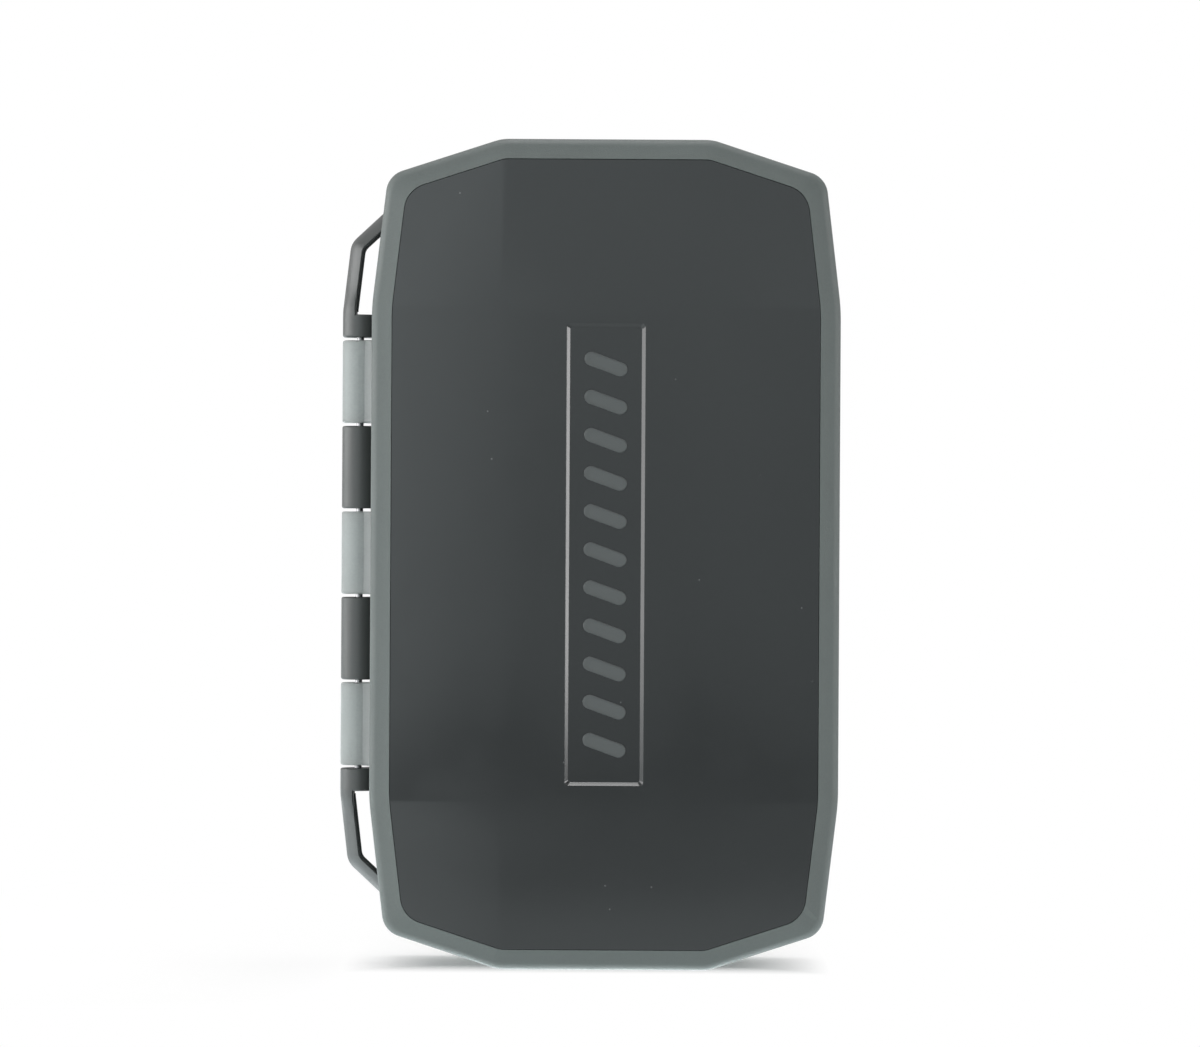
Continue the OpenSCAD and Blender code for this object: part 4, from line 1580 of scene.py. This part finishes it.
def mirrored_floor(finish, parts):
    """Level of the floor in what the case mirrors: a glow seen only in reflections, whose bands paint
    highlights on the case's lower facets and along its bottom edge.
    """
    y = parts["Y"]
    near = finish.maths("ABSOLUTE", y)
    contact = finish.maths("ABSOLUTE", finish.maths("SUBTRACT", near, FOOT_EDGE))
    # Painted reflection: the floor left of the case glows brighter in reflections, which lightens the left of
    # the case's lower facets.
    left = finish.band(parts["X"], -0.07, -0.02, 0.8, 0)
    level = finish.maths("MULTIPLY", left, finish.band(y, -0.45, -0.28, 0, 1))
    bands = (
        (y, -0.75, -0.3, 0.5, 0.92),  # the open floor, lighter towards the case
        (y, -0.16, -0.07, 0, 0.45),  # just in front of the case and below it
        # These two bands glow brighter than the floor's white: a painted highlight along the case's lower rim
        # and bottom edge.
        (near, 0.024, 0.04, 0.9, 0),  # round the foot
        (contact, 0.001, 0.0035, 4, 0),  # along the edges of the foot
    )
    for value, *band in bands:
        level = finish.maths("ADD", finish.band(value, *band), level)
    return level


def floor_material(sizes):
    """White floor that keeps the shadow round the case's foot. Elsewhere the camera sees plain white. In
    reflections the floor glows in bands that paint highlights on the case.
    """
    finish = Finish("studio_floor", FLOOR_WHITE, 0.6)
    parts = finish.axes()
    path = finish.add("ShaderNodeLightPath", {})
    camera, mirrored = path["Is Camera Ray"], path["Is Glossy Ray"]
    ahead = finish.band(parts["Y"], -sizes.shadow_end, -sizes.shadow_start, 1, 0)
    below = finish.maths("MAXIMUM", shadow_fade(finish, parts, sizes, 0, 0), ahead)
    beside = shadow_fade(finish, parts, sizes, -sizes.lid_shadow, sizes.lid_fade)
    plain = finish.maths("MULTIPLY", finish.maths("MULTIPLY", beside, below), camera)
    seen = finish.maths("SUBTRACT", mirrored_floor(finish, parts), 1)
    level = finish.maths("ADD", finish.maths("MULTIPLY", seen, mirrored), 1)
    tone = finish.mixed(mirrored, WHITE, MIRRORED_TINT)
    white = finish.add("ShaderNodeEmission", {"Color": tone, "Strength": level})
    finish.shade(
        {
            "Specular IOR Level": 0.2,
            "Emission Color": (*WHITE, 1),
            "Emission Strength": finish.maths("MULTIPLY", camera, sizes.floor_glow),
        }
    )
    layers = {
        0: finish.maths("MAXIMUM", plain, mirrored),
        1: finish.shader.outputs["BSDF"],
        2: white["Emission"],
    }
    finish.show(finish.add("ShaderNodeMixShader", layers)["Shader"])
    return finish.material


def add_room(sizes):
    """Sheets seen only in reflections: the studio behind the camera, and a lit wall on the left."""
    half = sizes.room_size / 2
    y = LID_SHELL[0].y - sizes.camera_distance - sizes.room_gap
    room = [(-half, y, -half), (half, y, -half), (half, y, half), (-half, y, half)]
    wall = [
        (WALL_X, WALL_FRONT, -WALL_HALF),
        (WALL_X, WALL_FRONT, WALL_HALF),
        (WALL_X, WALL_BACK, WALL_HALF),
        (WALL_X, WALL_BACK, -WALL_HALF),
    ]
    for name, corners, bands, tint in (
        ("room", room, ROOM_BANDS, MIRRORED_TINT),
        ("left_wall", wall, WALL_BANDS, WHITE),
    ):
        material = glowing_sheet("studio_" + name, bands, tint)
        sheet = flat_sheet(name, [(CENTRE.x + x, y, CENTRE.z + z) for x, y, z in corners], material)
        for ray in UNSEEN_RAYS:
            setattr(sheet, "visible_" + ray, False)


def glowing_sheet(name, bands, tint):
    """Light whose level is the sum of bands."""
    finish = Finish(name, (0, 0, 0), 1)
    parts = finish.axes()
    level = 0
    for axis, *band in bands:
        level = finish.maths("ADD", finish.band(parts[axis], *band), level)
    finish.show(finish.add("ShaderNodeEmission", {"Color": (*tint, 1), "Strength": level})["Emission"])
    return finish.material


def add_world(sizes):
    """Soft light, stronger from the background. Camera, glossy and transmission rays see plain white."""
    world = bpy.data.worlds.new("studio")
    bpy.context.scene.world = world
    world.use_nodes = True
    made = Nodes(world.node_tree)
    parts = made.add("ShaderNodeSeparateXYZ", {0: made.add("ShaderNodeTexCoord", {})["Generated"]})
    level = made.band(parts["Y"], *BACK_SLANT, sizes.front_level, sizes.back_level)
    path = made.add("ShaderNodeLightPath", {})
    seen = path["Is Camera Ray"]
    for ray in ("Is Transmission Ray", "Is Glossy Ray"):
        seen = made.maths("MAXIMUM", seen, path[ray])
    strength = made.add("ShaderNodeMix", {"Factor": seen, "A": level, "B": 1.0})["Result"]
    made.feed(made.nodes["Background"], {"Color": (*WHITE, 1), "Strength": strength})


def add_lamp(name, offset, width, height, level, unlit=None):
    """Soft light at an offset from the case's middle, which lights a white that faces it to a level."""
    data = bpy.data.lights.new(name, "AREA")
    data.shape = "RECTANGLE"
    data.size = width
    data.size_y = height
    offset = Vector(offset)
    data.energy = level * pi**2 * offset.length_squared
    lamp = placed(name, data)
    lamp.location = CENTRE + offset
    lamp.rotation_euler = offset.to_track_quat("Z", "Y").to_euler()
    if unlit:
        setattr(lamp, "visible_" + unlit, False)


def add_camera(sizes):
    """Looks straight at the lid's face."""
    data = bpy.data.cameras.new("camera")
    data.lens = data.sensor_width * sizes.camera_distance / sizes.view_width
    data.clip_end = FAR_CLIP
    camera = placed("camera", data)
    distance = LID_SHELL[0].y - sizes.camera_distance
    camera.location = (CENTRE.x - sizes.camera_left, distance, CENTRE.z + sizes.camera_up)
    camera.rotation_euler = (radians(90), sizes.camera_roll, 0)
    bpy.context.scene.camera = camera


# ---------------------------------------------------------------- add-on


GROUPS = {
    "fly_box_case": CaseSizes,
    "fly_box_panel": PanelSizes,
    "fly_box_tray": TraySizes,
    "fly_box_hinge": HingeSizes,
    "fly_box_foam": FoamSizes,
    "fly_box_colours": FinishColours,
    "fly_box_stage": StageSizes,
}
OPERATORS = (
    FLYBOX_OT_frames,
    FLYBOX_OT_panels,
    FLYBOX_OT_trays,
    FLYBOX_OT_seal,
    FLYBOX_OT_foam,
    FLYBOX_OT_hardware,
    FLYBOX_OT_stage,
)


class FLYBOX_PT_pieces(bpy.types.Panel):
    """Lists the operators that build the pieces, and the sizes and colours"""

    bl_idname = "FLYBOX_PT_pieces"
    bl_label = "Fly Box"
    bl_space_type = "VIEW_3D"
    bl_region_type = "UI"
    bl_category = "Fly Box"

    def draw(self, context):
        for operator in OPERATORS:
            self.layout.operator(operator.bl_idname)
        for name, group in GROUPS.items():
            box = self.layout.box()
            box.label(text=group.__name__)
            for prop in group.__annotations__:
                box.prop(getattr(context.scene, name), prop)


def register():
    for group in GROUPS.values():
        bpy.utils.register_class(group)
    for name, group in GROUPS.items():
        setattr(bpy.types.Scene, name, bpy.props.PointerProperty(type=group))
    for operator in OPERATORS:
        bpy.utils.register_class(operator)
    bpy.utils.register_class(FLYBOX_PT_pieces)


def unregister():
    bpy.utils.unregister_class(FLYBOX_PT_pieces)
    for operator in reversed(OPERATORS):
        bpy.utils.unregister_class(operator)
    for name, group in GROUPS.items():
        delattr(bpy.types.Scene, name)
        bpy.utils.unregister_class(group)


def main():
    register()
    bpy.ops.flybox.stage()
    bpy.ops.flybox.frames()
    bpy.ops.flybox.panels()
    bpy.ops.flybox.trays()
    bpy.ops.flybox.seal()
    bpy.ops.flybox.foam()
    bpy.ops.flybox.hardware()


if __name__ == "__main__":
    main()
